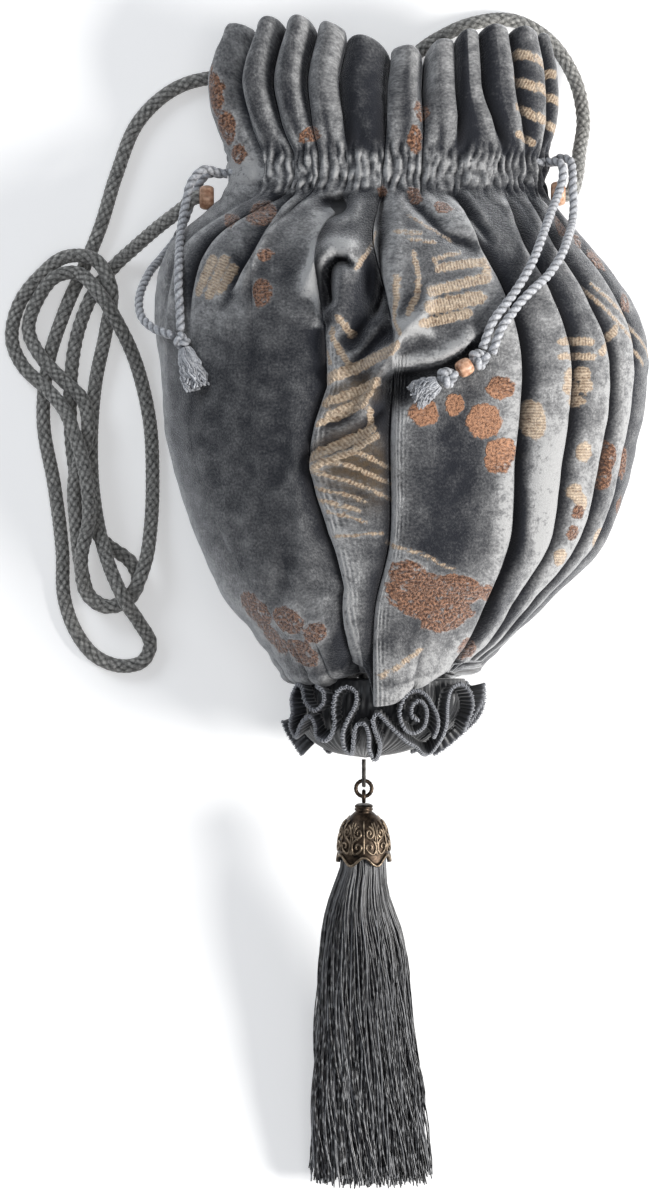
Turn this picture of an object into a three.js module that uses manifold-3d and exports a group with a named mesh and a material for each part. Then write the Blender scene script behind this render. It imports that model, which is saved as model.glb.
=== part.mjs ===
// Gathered velvet evening bag with a drawstring neck, a ruched rosette under its base and a tassel.
// The bag lies on its back: +Z is up from the table, +Y runs towards the frill and +X to the right.
// The origin is the middle of the flat spot that the bag rests on. All lengths are in millimetres.

import * as THREE from "three";
import { mergeVertices } from "three/addons/utils/BufferGeometryUtils.js";
import Module from "manifold-3d";

const wasm = await Module();
wasm.setup();

// Gaps and cloth
const CLEARANCE = 0.35;
const VELVET_WALL = 2.2;
const LINING_WALL = 0.8;
const LINING_EASE = 1.05;
const PUFF_FOLLOW = 0.55;

// Cords
const CARRY_CORD_DIAMETER = 5;
const DRAWSTRING_DIAMETER = 3;
const TABLE_LIFT = 0.15;

// Beads and knots
const SIDE_BEAD_DIAMETER = 8.4;
const SIDE_BEAD_LENGTH = 5;
const DROP_BEAD_DIAMETER = 6;
const DROP_BEAD_LENGTH = 5;
const LEFT_KNOT_SIZE = { length: 6.4, width: 6.2 };
const RIGHT_KNOT_SIZE = { length: 7.6, width: 8 };
const LEFT_FRAY_SIZE = { length: 15, width: 7.6 };
const RIGHT_FRAY_SIZE = { length: 10, width: 8 };

// Casing: windows at both ends and the two drawstrings lying side by side in the channel
const CASING_Y = 86.5;
const WINDOW_LENGTH = 9;
const WINDOW_HEIGHT = 15.5;
const STRAND_SPREAD = 3.6;

// Rosette
const ROSETTE_TOP_Y = -88;
const ROSETTE_X = -0.3;
const ROSETTE_Z = 37;
const ROSETTE_DEPTH = 27;
const ROSETTE_SHEAR = -6;
const RIBBON_HEIGHT = 4.8;
const RIBBON_THICKNESS = 1.3;
const RIBBON_SEAT = 0.95;
const BACK_WAVES = 5;

// Tassel and the links it hangs by
const LINK_X = -6.8;
const LINK_Z = 36;
const RING_Y = -125.5;
const RING_RADIUS = 2.7;
const RING_WIRE = 1.4;
const LOOP_WIRE = 1.4;
const TASSEL_TILT = 11.75;
const CAP_WALL = 0.8;
const CAP_POINTS = 6;
const CAP_SCALLOP = 1.6;
const SKIRT_LOCKS = 15;
const SKIRT_GROOVE = 0.09;

// Cross-sections from the gathered base to the rim of the frill: place along the bag, left and right edge,
// half thickness, and height of the middle above the table.
const SECTIONS = [
  { y: -85.7, left: -35.4, right: 34.6, half: 34, middle: 38 },
  { y: -74.8, left: -43.5, right: 43.5, half: 40, middle: 41 },
  { y: -61.2, left: -53.7, right: 56.5, half: 45, middle: 44 },
  { y: -40.8, left: -63.6, right: 75.8, half: 49, middle: 46.5 },
  { y: -10.2, left: -73.1, right: 85.6, half: 51, middle: 48 },
  { y: 20.4, left: -76.5, right: 89.8, half: 51, middle: 48 },
  { y: 40.8, left: -78.2, right: 84, half: 48, middle: 46 },
  { y: 59.5, left: -73.4, right: 70, half: 40, middle: 41 },
  { y: 71.4, left: -61.4, right: 60.5, half: 30, middle: 35 },
  { y: 78.6, left: -55.1, right: 55.8, half: 23.5, middle: 31.5 },
  { y: 90.1, left: -54.1, right: 56.4, half: 20.5, middle: 29 },
  { y: 102, left: -58.5, right: 59.5, half: 20.5, middle: 28.5 },
  { y: 117.3, left: -60.9, right: 60.2, half: 20.5, middle: 28 },
  { y: 132.6, left: -55.4, right: 57.5, half: 18, middle: 27 },
];

// Section numbers at which the creases are given: foot, waist, shoulder, neck, frill.
const LEVELS = [0.5, 4, 6, 9.5, 12];
const CASING_FROM = 8.6;
const CASING_TO = 10.4;

// Creases between the puffs, going round from the left edge over the front, under the back and home again.
// round: share of the way round at each level. deep: depth of the crease there. drop: how far the cloth hangs
// below the base. rim: how far the frill stands above its mean rim. tuck: how far the puff before the crease
// laps over it, or, when below zero, the puff after it.
const CREASES = [
  { round: [0.04, 0.03, 0.055, 0.11, 0.094], deep: [2, 0.6, 2.5, 1.8, 4], drop: 0, rim: 1.5, tuck: 0 },
  { round: [0.12, 0.075, 0.089, 0.152, 0.139], deep: [2.5, 0.5, 3, 1.8, 4], drop: 1, rim: 3, tuck: 0 },
  { round: [0.16, 0.14, 0.15, 0.18, 0.177], deep: [1.5, 0.4, 1, 1.8, 4.5], drop: 0, rim: 2, tuck: 0 },
  { round: [0.205, 0.197, 0.2, 0.212, 0.208], deep: [8, 8, 5, 1.8, 4.5], drop: -7, rim: -2, tuck: 2 },
  { round: [0.235, 0.2405, 0.245, 0.246, 0.255], deep: [6, 9, 6, 1.8, 5], drop: 9, rim: -8, tuck: -2 },
  { round: [0.3, 0.3, 0.29, 0.285, 0.287], deep: [1, 0.5, 2.5, 1.8, 4.5], drop: 3.5, rim: -8, tuck: 0 },
  { round: [0.375, 0.331, 0.328, 0.322, 0.317], deep: [6, 8, 5, 1.8, 4.5], drop: -6, rim: -4, tuck: 2 },
  { round: [0.41, 0.3736, 0.367, 0.385, 0.344], deep: [5, 6, 4, 1.8, 4.5], drop: -8, rim: -1, tuck: 2 },
  { round: [0.44, 0.416, 0.402, 0.42, 0.386], deep: [4, 5, 4, 1.8, 3], drop: -8, rim: 0, tuck: 1.5 },
  { round: [0.47, 0.451, 0.445, 0.455, 0.445], deep: [4, 4, 3, 1.8, 3], drop: -6, rim: -2, tuck: 1.5 },
  { round: [0.52, 0.52, 0.52, 0.52, 0.52], deep: [4, 3, 3, 1.8, 4], drop: -3, rim: -4, tuck: 0 },
  { round: [0.575, 0.575, 0.575, 0.575, 0.575], deep: [3, 2.5, 3, 1.8, 4], drop: -2, rim: -8, tuck: 0 },
  { round: [0.64, 0.635, 0.635, 0.64, 0.64], deep: [3, 2, 3, 1.8, 4], drop: 0, rim: -9, tuck: 0 },
  { round: [0.7, 0.69, 0.69, 0.7, 0.7], deep: [3, 1.5, 3, 1.8, 4], drop: 0, rim: -11, tuck: 0 },
  { round: [0.8, 0.81, 0.81, 0.8, 0.79], deep: [3, 1.5, 3, 1.8, 4], drop: 0, rim: -11, tuck: 0 },
  { round: [0.86, 0.865, 0.865, 0.86, 0.86], deep: [3, 2, 3, 1.8, 4], drop: 0, rim: -8, tuck: 0 },
  { round: [0.925, 0.925, 0.925, 0.925, 0.925], deep: [3, 2.5, 3, 1.8, 4], drop: 0, rim: -5, tuck: 0 },
  { round: [0.985, 0.98, 0.985, 0.985, 0.98], deep: [3, 3, 3, 1.8, 4], drop: 0, rim: -1, tuck: 0 },
];
const POINTS_PER_PUFF = 4;
const INNER_POINTS_PER_PUFF = 2;
const OUTER_STATIONS = [
  0, 0.6, 1.4, 2.3, 3.3, 4.4, 5.4, 6.2, 6.9, 7.5, 8.2, 8.9, 9.5, 10.1, 10.8, 11.6, 12.4, 13,
];
const INNER_STATIONS = [0.5, 1.4, 2.6, 4.4, 6, 7.2, 8.1, 8.8, 9.5, 10.2, 11.2, 13];
const LINING_STATIONS = [0.9, 1.8, 3, 4.8, 6.3, 7.3, 8.1, 8.8, 9.5, 10.2];
const LINING_POINTS = 14;

// Routes of the cords, chosen by eye from the way they lie. The carry cord starts at the left bead, lies in a
// loose hank of three turns on the table, passes under the frill and ends at the right bead. The third number
// is the layer that the cord lies in: 0 on the table, 1 on top of one strand, and so on.
const CARRY_ROUTE = [
  [-68.4, 73.0, 5.2], [-77.0, 67.0, 3.4], [-85.7, 60.2, 1.4], [-93.2, 53.7, 0], [-100.5, 44.0, 0],
  [-106.0, 29.0, 0], [-108.1, 8.5, 0], [-107.0, -12.0, 0], [-103.5, -29.0, 0], [-96.6, -40.8, 0],
  [-87.0, -48.3, 0], [-84.6, -55.1, 0], [-88.6, -61.7, 0], [-95.2, -63.4, 0], [-101.3, -59.8, 0],
  [-104.0, -51.0, 0.35], [-105.8, -36.0, 1], [-106.4, -20.0, 1], [-101.8, -3.5, 1], [-103.4, 7.5, 1],
  [-110.8, 15.0, 1], [-118.3, 23.1, 0.8], [-122.4, 32.3, 0.2], [-119.3, 42.5, 0.3], [-112.9, 50.3, 1],
  [-105.0, 51.4, 1], [-97.2, 43.5, 1.8], [-90.4, 32.3, 1.2], [-85.0, 19.7, 0.2], [-80.6, 0.5, 0],
  [-79.6, -19.0, 0], [-80.2, -36.0, 0.3], [-82.2, -49.0, 1], [-87.0, -59.2, 1], [-95.2, -63.6, 1.05],
  [-102.0, -59.2, 1.1], [-104.0, -47.6, 1.7], [-101.3, -33.0, 2], [-102.6, -17.0, 2], [-105.8, -5.5, 2],
  [-109.8, 4.1, 1.6], [-115.3, 10.9, 1], [-124.4, 19.7, 0.2], [-128.2, 28.9, 0], [-125.8, 40.8, 0],
  [-118.7, 50.3, 0.5], [-109.5, 57.1, 1], [-99.3, 56.1, 1], [-93.8, 46.2, 1], [-95.6, 32.0, 0.3],
  [-99.3, 14.0, 0], [-100.8, -6.0, 0], [-99.8, -26.0, 0.4], [-95.5, -45.9, 1.7], [-89.1, -61.2, 2],
  [-84.3, -68.7, 1], [-80.4, -76.3, 0.2], [-83.0, -82.3, 0], [-90.4, -84.0, 0], [-99.3, -80.6, 0],
  [-106.1, -72.1, 0], [-110.2, -60.0, 0], [-110.8, -44.0, 0], [-113.5, -22.0, 0], [-117.3, 0, 0],
  [-115.8, 20.0, 0], [-110.0, 38.5, 0], [-102.7, 55.1, 0], [-97.5, 68.0, 0], [-92.0, 86.0, 0],
  [-84.5, 104.0, 0], [-72.1, 115.3, 0], [-58.0, 119.3, 0], [-38.0, 117.0, 0], [-16.0, 116.0, 0],
  [4.0, 122.3, 0], [18.0, 132.2, 0], [31.0, 138.0, 0], [45.0, 139.0, 0], [57.5, 132.0, 0.1],
  [66.0, 119.0, 0.5], [68.9, 104.7, 1.6], [67.2, 92.1, 3.3], [66.0, 83.5, 4.9],
];
const LEFT_BEAD = { x: -60.4, y: 76.2, z: 34 };
const RIGHT_BEAD = { x: 59.6, y: 77.6, z: 32.5 };

// Ribbon on edge over the rosette: places of its outer edge as it shows from above, from a rolled start on the
// left over to the right side. From there it goes round the back in even waves. The curl is a shorter length.
const RIBBON_LINE = [
  [-22.8, -90.4], [-20.1, -92.1], [-20.1, -95.9], [-23.5, -98.6], [-26.9, -95.5], [-27.9, -90.8],
  [-29.9, -89.3], [-31.6, -93.2], [-30.6, -99.3], [-31.6, -104.7], [-29.9, -107.8], [-28.2, -103.4],
  [-25.8, -101], [-24.1, -103.7], [-23.1, -107.4], [-19.4, -108.1], [-17, -103.7], [-17.3, -97.9],
  [-16.3, -92.8], [-13.3, -90.8], [-10.2, -92.5], [-10.2, -97.2], [-12.2, -102], [-13.9, -106.8],
  [-13.3, -111.5], [-11.2, -113.2], [-10.2, -108.1], [-9.2, -104], [-7.1, -103.4], [-5.1, -106.8],
  [-4.8, -112.2], [-3.2, -115.3], [-1.4, -110.5], [-3.2, -104.5], [-3.8, -101], [-2.2, -99.4],
  [-0.2, -101], [2, -103.6], [5.1, -106.6], [9.2, -110.4], [12.2, -113], [15.2, -113.2],
  [18.4, -109.5], [20.6, -104], [21.8, -98], [23, -91.8], [25.9, -89.5], [29.2, -92.5],
  [30, -97.9], [28, -103], [27.4, -105.8], [30.4, -102.4], [32.4, -98.5],
];
const CURL_LINE = [
  [16.4, -107.5], [17.8, -103.4], [17.4, -97.9], [14.8, -93.5], [10.5, -91.8], [6.8, -94.2],
  [5.2, -99.3], [7.1, -104.4], [10.5, -106.2], [13.6, -104.6], [14.8, -101], [14, -97.2],
  [11.7, -95.2], [9.4, -97], [9.4, -100.4], [11.4, -101.6],
];

const LEFT_FRONT_ROUTE = [
  [-61.5, 85.5, 38], [-65.6, 81, 40.5], [-67.4, 74, 43], [-68.8, 65.5, 49.5], [-69.3, 57.8, 58.3],
  [-69.4, 51, 65.6], [-69.4, 44, 69.4], [-68.9, 37, 71.8], [-68.6, 29.4, 74],
];
const LEFT_BACK_ROUTE = [
  [-60.5, 84.5, 25], [-64.8, 78, 22.5], [-67.8, 70, 20.8], [-71, 63, 20], [-75.5, 56.5, 28], [-80, 50, 41],
  [-83, 41, 53], [-82, 34.5, 61], [-78, 30.5, 67], [-71.1, 27.6, 73.2],
];
const RIGHT_FRONT_ROUTE = [
  [60.5, 87.5, 37], [61, 83, 39.6], [59.4, 77.2, 43.5], [56.2, 69.3, 55.8], [52.9, 60.6, 70.6],
  [49.8, 52.8, 79.8], [46.2, 46.1, 86.2], [42.6, 40.6, 90.2], [39.4, 36.4, 93.4], [35.8, 31.4, 96.8],
  [32.4, 22.6, 99.3],
];
const RIGHT_BACK_ROUTE = [
  [60, 90, 27.5], [63.6, 89, 31.5], [64.4, 85, 35.5], [64.4, 79.6, 39.5], [64.6, 73, 43.5], [64, 67.5, 48],
  [62, 61.1, 61.8], [59.3, 54.5, 72.4], [54.6, 47.5, 80], [49.5, 42.7, 87], [45.4, 38.4, 90.4],
  [42.3, 34.3, 93.2], [38.8, 29.4, 96.8], [35.6, 20.9, 99.3],
];
const LEFT_KNOT = { x: -68.2, y: 26, z: 74.2 };
const LEFT_TAIL_TURN = 289;
const LEFT_TAIL_TIP = -17;
const RIGHT_KNOT = { x: 31.4, y: 19, z: 100.4 };
const RIGHT_TAIL_TURN = 210;
const RIGHT_TAIL_TIP = -13;
const RIGHT_FRAY_TIP = 10;

const VELVET = new THREE.MeshStandardMaterial({ color: 0x50545e, roughness: 0.95 });
const SATIN = new THREE.MeshStandardMaterial({ color: 0x3a3d46, roughness: 0.45 });
const RIBBON = new THREE.MeshStandardMaterial({ color: 0x3c4150, roughness: 0.4 });
const BRAID = new THREE.MeshStandardMaterial({ color: 0x6d6a66, roughness: 0.8 });
const CORD = new THREE.MeshStandardMaterial({ color: 0x9a9da3, roughness: 0.55 });
const COPPER = new THREE.MeshStandardMaterial({ color: 0xb98466, roughness: 0.5 });
const BRONZE = new THREE.MeshStandardMaterial({ color: 0x6f6250, roughness: 0.4, metalness: 1 });
const THREADS = new THREE.MeshStandardMaterial({ color: 0x44474d, roughness: 0.5 });

const bag = new THREE.Group();
bag.name = "velvet_drawstring_bag";

function piece(name, geometry, material) {
  const mesh = new THREE.Mesh(geometry, material);
  mesh.name = name;
  bag.add(mesh);
}

// Smooth value at a fractional place in a list.
function along(values, place) {
  const last = values.length - 1;
  const p = Math.min(Math.max(place, 0), last);
  const i = Math.min(Math.floor(p), last - 1);
  const f = p - i;
  const a = values[Math.max(i - 1, 0)];
  const b = values[i];
  const c = values[i + 1];
  const d = values[Math.min(i + 2, last)];
  const square = 2 * a - 5 * b + 4 * c - d;
  const cube = 3 * b - a - 3 * c + d;
  return 0.5 * (2 * b + (c - a) * f + square * f * f + cube * f * f * f);
}

function sectionAt(place) {
  const left = along(SECTIONS.map((s) => s.left), place);
  const right = along(SECTIONS.map((s) => s.right), place);
  return {
    y: along(SECTIONS.map((s) => s.y), place),
    centre: (left + right) / 2,
    width: (right - left) / 2,
    half: along(SECTIONS.map((s) => s.half), place),
    middle: along(SECTIONS.map((s) => s.middle), place),
  };
}

// Fractional section number of a place along the bag.
function placeOf(y) {
  let low = 0;
  let high = SECTIONS.length - 1;
  for (let n = 0; n < 40; n += 1) {
    const mid = (low + high) / 2;
    if (sectionAt(mid).y < y) {
      low = mid;
    } else {
      high = mid;
    }
  }
  return (low + high) / 2;
}

// Value of a crease list at a section number.
function atLevel(values, place) {
  let i = 0;
  while (i < LEVELS.length - 2 && place > LEVELS[i + 1]) {
    i += 1;
  }
  const f = Math.min(Math.max((place - LEVELS[i]) / (LEVELS[i + 1] - LEVELS[i]), 0), 1);
  return values[i] + (values[i + 1] - values[i]) * f * f * (3 - 2 * f);
}

function creaseDepth(place) {
  return Math.max(...CREASES.map((c) => atLevel(c.deep, place)));
}

// 1 inside the casing and 0 away from it.
function casingShare(place) {
  const rise = Math.min(Math.max((place - CASING_FROM + 0.7) / 0.7, 0), 1);
  const fall = Math.min(Math.max((CASING_TO + 0.7 - place) / 0.7, 0), 1);
  return Math.min(rise, fall);
}

// Point of the oval section: share of the way round, and distance outward from the oval.
function ovalPoint(section, round, out, slide = 0, lower = 0) {
  const angle = 2 * Math.PI * round;
  const c = Math.cos(angle);
  const s = Math.sin(angle);
  const normal = new THREE.Vector2(-c * section.half, s * section.width).normalize();
  return new THREE.Vector3(
    section.centre - section.width * c + normal.x * out + normal.y * slide,
    section.y - lower,
    section.middle + section.half * s + normal.y * out - normal.x * slide,
  );
}

const steep = (w) => Math.sqrt(1 - (1 - w) * (1 - w));
const gentle = (w) => w * w * (3 - 2 * w);

// One ring of the cloth. inner rings lie a cloth's thickness inside and follow the puffs more loosely.
function clothRing(place, points, inner, shape = {}) {
  const section = sectionAt(place);
  const casing = casingShare(place);
  const ring = [];
  for (let i = 0; i < CREASES.length; i += 1) {
    const from = CREASES[i];
    const to = CREASES[(i + 1) % CREASES.length];
    const start = atLevel(from.round, place);
    const end = atLevel(to.round, place) + (i + 1 === CREASES.length ? 1 : 0);
    const deepFrom = atLevel(from.deep, place);
    const deepTo = atLevel(to.deep, place);
    for (let k = 0; k < points; k += 1) {
      const s = k / points;
      const first = s < 0.5;
      const w = first ? 2 * s : 2 - 2 * s;
      const lap = first ? -from.tuck : to.tuck;
      const rise = lap < 0 ? gentle(w) : steep(w);
      const deep = first ? deepFrom : deepTo;
      let out = -deep * (1 - rise);
      let slide = 0;
      if (inner) {
        const loose = -VELVET_WALL - deep * (1 - PUFF_FOLLOW * rise);
        const smooth = -VELVET_WALL - creaseDepth(place);
        out = loose + (smooth - loose) * casing;
      } else if (lap > 0) {
        slide = (first ? -1 : 1) * lap * (1 - casing) * Math.sin(Math.PI * w) * (1 - w);
      }
      const blend = s * s * s;
      const drop = from.drop + (to.drop - from.drop) * (to.drop > from.drop ? blend : s);
      const rim = from.rim + (to.rim - from.rim) * s;
      const fall = drop > 0 ? shape.drop ?? 0 : shape.raise ?? 0;
      const lower = fall * drop - (shape.rim ?? 0) * rim + (shape.lower ?? 0);
      const lift = (shape.lift ?? 0) * Math.max(drop, 0) + (shape.out ?? 0);
      ring.push(ovalPoint(section, start + (end - start) * s, out + lift, slide, lower));
    }
  }
  return ring;
}

function centreOf(ring) {
  const centre = new THREE.Vector3();
  for (const p of ring) {
    centre.add(p);
  }
  return centre.divideScalar(ring.length);
}

function shrink(ring, share, y) {
  const centre = centreOf(ring);
  return ring.map((p) => new THREE.Vector3(
    centre.x + (p.x - centre.x) * share,
    y,
    centre.z + (p.z - centre.z) * share,
  ));
}

// Closed surface through a row of rings; a ring of one point is a pole.
function loft(rings) {
  const positions = [];
  const index = [];
  const starts = [];
  for (const ring of rings) {
    starts.push(positions.length / 3);
    for (const p of ring) {
      positions.push(p.x, p.y, p.z);
    }
  }
  for (let r = 0; r + 1 < rings.length; r += 1) {
    const a = rings[r].length;
    const b = rings[r + 1].length;
    for (let k = 0; k < Math.max(a, b); k += 1) {
      const a0 = starts[r] + (k % a);
      const a1 = starts[r] + ((k + 1) % a);
      const b0 = starts[r + 1] + (k % b);
      const b1 = starts[r + 1] + ((k + 1) % b);
      if (a > 1) {
        index.push(a0, a1, b0);
      }
      if (b > 1) {
        index.push(a1, b1, b0);
      }
    }
  }
  let volume = 0;
  const at = (i) => new THREE.Vector3().fromArray(positions, 3 * i);
  for (let i = 0; i < index.length; i += 3) {
    volume += at(index[i]).dot(at(index[i + 1]).cross(at(index[i + 2])));
  }
  if (volume < 0) {
    index.reverse();
  }
  const geometry = new THREE.BufferGeometry();
  geometry.setAttribute("position", new THREE.Float32BufferAttribute(positions, 3));
  geometry.setIndex(index);
  geometry.computeVertexNormals();
  return geometry;
}

function solid(geometry) {
  const bare = geometry.clone();
  bare.deleteAttribute("normal");
  bare.deleteAttribute("uv");
  const merged = mergeVertices(bare, 1e-4);
  return new wasm.Manifold(new wasm.Mesh({
    numProp: 3,
    vertProperties: new Float32Array(merged.attributes.position.array),
    triVerts: new Uint32Array(merged.index.array),
  }));
}

function surface(manifold) {
  const mesh = manifold.getMesh();
  const geometry = new THREE.BufferGeometry();
  geometry.setAttribute("position", new THREE.BufferAttribute(new Float32Array(mesh.vertProperties), 3));
  geometry.setIndex(new THREE.BufferAttribute(new Uint32Array(mesh.triVerts), 1));
  geometry.computeVertexNormals();
  return geometry;
}

function block(x0, x1, y0, y1, z0, z1) {
  const box = new THREE.BoxGeometry(x1 - x0, y1 - y0, z1 - z0);
  return solid(box.translate((x0 + x1) / 2, (y0 + y1) / 2, (z0 + z1) / 2));
}

// Round cord through its points, with the given number of rings from each point to the next.
function tube(points, diameter, rings, sides) {
  const path = new THREE.CatmullRomCurve3(points.map((p) => new THREE.Vector3(...p)), false, "centripetal");
  path.getUtoTmapping = (share) => share;
  const steps = rings * (points.length - 1);
  const round = new THREE.Shape();
  for (let k = 0; k < sides; k += 1) {
    const angle = (2 * Math.PI * k) / sides;
    const x = (diameter / 2) * Math.cos(angle);
    const y = (diameter / 2) * Math.sin(angle);
    if (k === 0) {
      round.moveTo(x, y);
    } else {
      round.lineTo(x, y);
    }
  }
  round.closePath();
  const settings = { steps, extrudePath: path, curveSegments: 1, bevelEnabled: false };
  return new THREE.ExtrudeGeometry(round, settings);
}

// Velvet: the puffed cloth closed by its gathered base, less the room inside it.
const reach = 400;
const baseY = SECTIONS[0].y - 0.6;
const outerRings = [
  [new THREE.Vector3(sectionAt(0).centre, baseY, sectionAt(0).middle)],
  shrink(clothRing(0, POINTS_PER_PUFF, false), 0.5, baseY),
  clothRing(0, POINTS_PER_PUFF, false, { out: -4, lift: 0.72, lower: 0.7 }),
  clothRing(0, POINTS_PER_PUFF, false, { out: -1.2, lift: 0.6, lower: 1.6, drop: 1, raise: 0.7 }),
];
for (const place of OUTER_STATIONS) {
  const rise = gentle(Math.min(Math.max((place - 11) / 2, 0), 1));
  const hang = 1 - Math.min(place / 0.6, 1);
  const shape = { rim: rise, drop: 0.55 * hang, raise: 0.55 * hang, lift: 0.6 * hang };
  outerRings.push(clothRing(place, POINTS_PER_PUFF, false, shape));
}
const rimRing = clothRing(13, POINTS_PER_PUFF, false, { rim: 1, out: -1.4, lower: -1.3 });
outerRings.push(rimRing, [centreOf(rimRing)]);

const innerRings = [];
for (const place of INNER_STATIONS) {
  innerRings.push(clothRing(place, INNER_POINTS_PER_PUFF, true));
}
const innerFoot = centreOf(innerRings[0]);
innerRings.unshift([innerFoot]);
const mouth = clothRing(13, INNER_POINTS_PER_PUFF, true, { lower: -20 });
innerRings.push(mouth, [centreOf(mouth)]);

const table = block(-reach, reach, -reach, reach, -reach, 0);
const underRoom = block(-reach, reach, -reach, reach, -reach, VELVET_WALL);
const room = solid(loft(innerRings)).subtract(underRoom);
const casing = sectionAt(placeOf(CASING_Y));
const windowBox = block(
  -reach, reach,
  CASING_Y - WINDOW_LENGTH / 2, CASING_Y + WINDOW_LENGTH / 2,
  casing.middle - WINDOW_HEIGHT / 2, casing.middle + WINDOW_HEIGHT / 2,
);
let velvet = solid(loft(outerRings)).subtract(table).subtract(room).subtract(windowBox);
for (const [bead, side] of [[LEFT_BEAD, -1], [RIGHT_BEAD, 1]]) {
  const pocket = new THREE.CylinderGeometry(
    SIDE_BEAD_DIAMETER / 2 + CLEARANCE, SIDE_BEAD_DIAMETER / 2 + CLEARANCE, 40, 12,
  ).rotateZ(Math.PI / 2);
  const start = bead.x - side * (SIDE_BEAD_LENGTH / 2 + CLEARANCE);
  velvet = velvet.subtract(solid(pocket.translate(start + side * 20, bead.y, bead.z)));
}
piece("velvet_shell", surface(velvet), VELVET);

// Lining: a smooth bag inside the creases, narrower at the casing to leave the drawstrings their channel.
const channel = 2 * CLEARANCE + DRAWSTRING_DIAMETER;
function liningRing(place, extra) {
  const casingOut = -VELVET_WALL - creaseDepth(place) - channel - CLEARANCE;
  const bodyOut = -VELVET_WALL - creaseDepth(place) - LINING_EASE;
  const share = casingShare(place);
  const out = bodyOut + (casingOut - bodyOut) * share - extra;
  const section = sectionAt(place);
  const ring = [];
  for (let k = 0; k < LINING_POINTS; k += 1) {
    ring.push(ovalPoint(section, k / LINING_POINTS, out));
  }
  return ring;
}
const liningOuter = LINING_STATIONS.map((place) => liningRing(place, 0));
const liningInner = LINING_STATIONS.map((place) => liningRing(place, LINING_WALL)).reverse();
const liningEnd = liningInner.length - 1;
const floorLift = new THREE.Vector3(0, LINING_WALL, 0);
liningInner[liningEnd] = liningInner[liningEnd].map((p) => p.clone().add(floorLift));
piece("lining", loft([
  [centreOf(liningOuter[0])], ...liningOuter, ...liningInner, [centreOf(liningInner[liningEnd])],
]), SATIN);

// Drawstrings: each runs round the channel from its own side and comes back out beside itself.
const pitch = DRAWSTRING_DIAMETER + 2 * CLEARANCE;
function casingRun(side, y) {
  const place = placeOf(y);
  const section = sectionAt(place);
  const runOut = -VELVET_WALL - creaseDepth(place) - channel / 2;
  const points = [];
  const begin = side < 0 ? 0 : 0.5;
  for (let k = 0; k <= 18; k += 1) {
    const round = begin + 0.075 + (0.85 * k) / 18;
    points.push(ovalPoint(section, round, runOut).toArray());
  }
  const gate = section.centre + side * (section.width - 1);
  const up = side < 0 ? 1 : -1;
  points.unshift([gate, y, section.middle + up * STRAND_SPREAD]);
  points.push([gate, y, section.middle - up * STRAND_SPREAD]);
  return points;
}
const leftY = CASING_Y - pitch / 2;
const rightY = CASING_Y + pitch / 2;
piece("drawstring_left_run", tube(casingRun(-1, leftY), DRAWSTRING_DIAMETER, 1, 5), CORD);
piece("drawstring_right_run", tube(casingRun(1, rightY), DRAWSTRING_DIAMETER, 1, 5), CORD);

function strand(side, y, up, route) {
  const gate = casing.centre + side * (casing.width - 1 + 2 * CLEARANCE);
  const z = casing.middle + up * STRAND_SPREAD;
  const points = [[gate, y, z], [gate + side * 2, y, z + up * 0.3], ...route];
  return tube(points, DRAWSTRING_DIAMETER, 1, 7);
}
piece("drawstring_left_front", strand(-1, leftY, 1, LEFT_FRONT_ROUTE), CORD);
piece("drawstring_left_back", strand(-1, leftY, -1, LEFT_BACK_ROUTE), CORD);
piece("drawstring_right_front", strand(1, rightY, 1, RIGHT_FRONT_ROUTE), CORD);
piece("drawstring_right_back", strand(1, rightY, -1, RIGHT_BACK_ROUTE), CORD);

// Carry cord, with a straight end in the bore of each side bead.
function beadEnd(bead, side) {
  const half = SIDE_BEAD_LENGTH / 2;
  return [
    [bead.x + side * (half + 1.5), bead.y, bead.z],
    [bead.x - side * (half - CLEARANCE), bead.y, bead.z],
  ];
}
const layer = (n) => CARRY_CORD_DIAMETER / 2 + TABLE_LIFT + n * (CARRY_CORD_DIAMETER + CLEARANCE);
piece("carry_cord", tube([
  ...beadEnd(LEFT_BEAD, -1).reverse(),
  ...CARRY_ROUTE.map(([x, y, n]) => [x, y, layer(n)]),
  ...beadEnd(RIGHT_BEAD, 1),
], CARRY_CORD_DIAMETER, 1, 7), BRAID);

// Barrel bead with a bore, its axis along X before it is turned.
function barrel(diameter, length, bore, sides) {
  const profile = [
    [bore / 2, -length / 2], [diameter * 0.42, -length / 2], [diameter / 2, -length * 0.16],
    [diameter / 2, length * 0.16], [diameter * 0.42, length / 2], [bore / 2, length / 2],
    [bore / 2, -length / 2],
  ].map(([r, h]) => new THREE.Vector2(r, h));
  return new THREE.LatheGeometry(profile, sides).rotateZ(Math.PI / 2);
}
const sideBore = CARRY_CORD_DIAMETER + 2 * CLEARANCE;
for (const [name, at] of [["side_bead_left", LEFT_BEAD], ["side_bead_right", RIGHT_BEAD]]) {
  const bead = barrel(SIDE_BEAD_DIAMETER, SIDE_BEAD_LENGTH, sideBore, 12);
  piece(name, bead.translate(at.x, at.y, at.z), COPPER);
}

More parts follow.
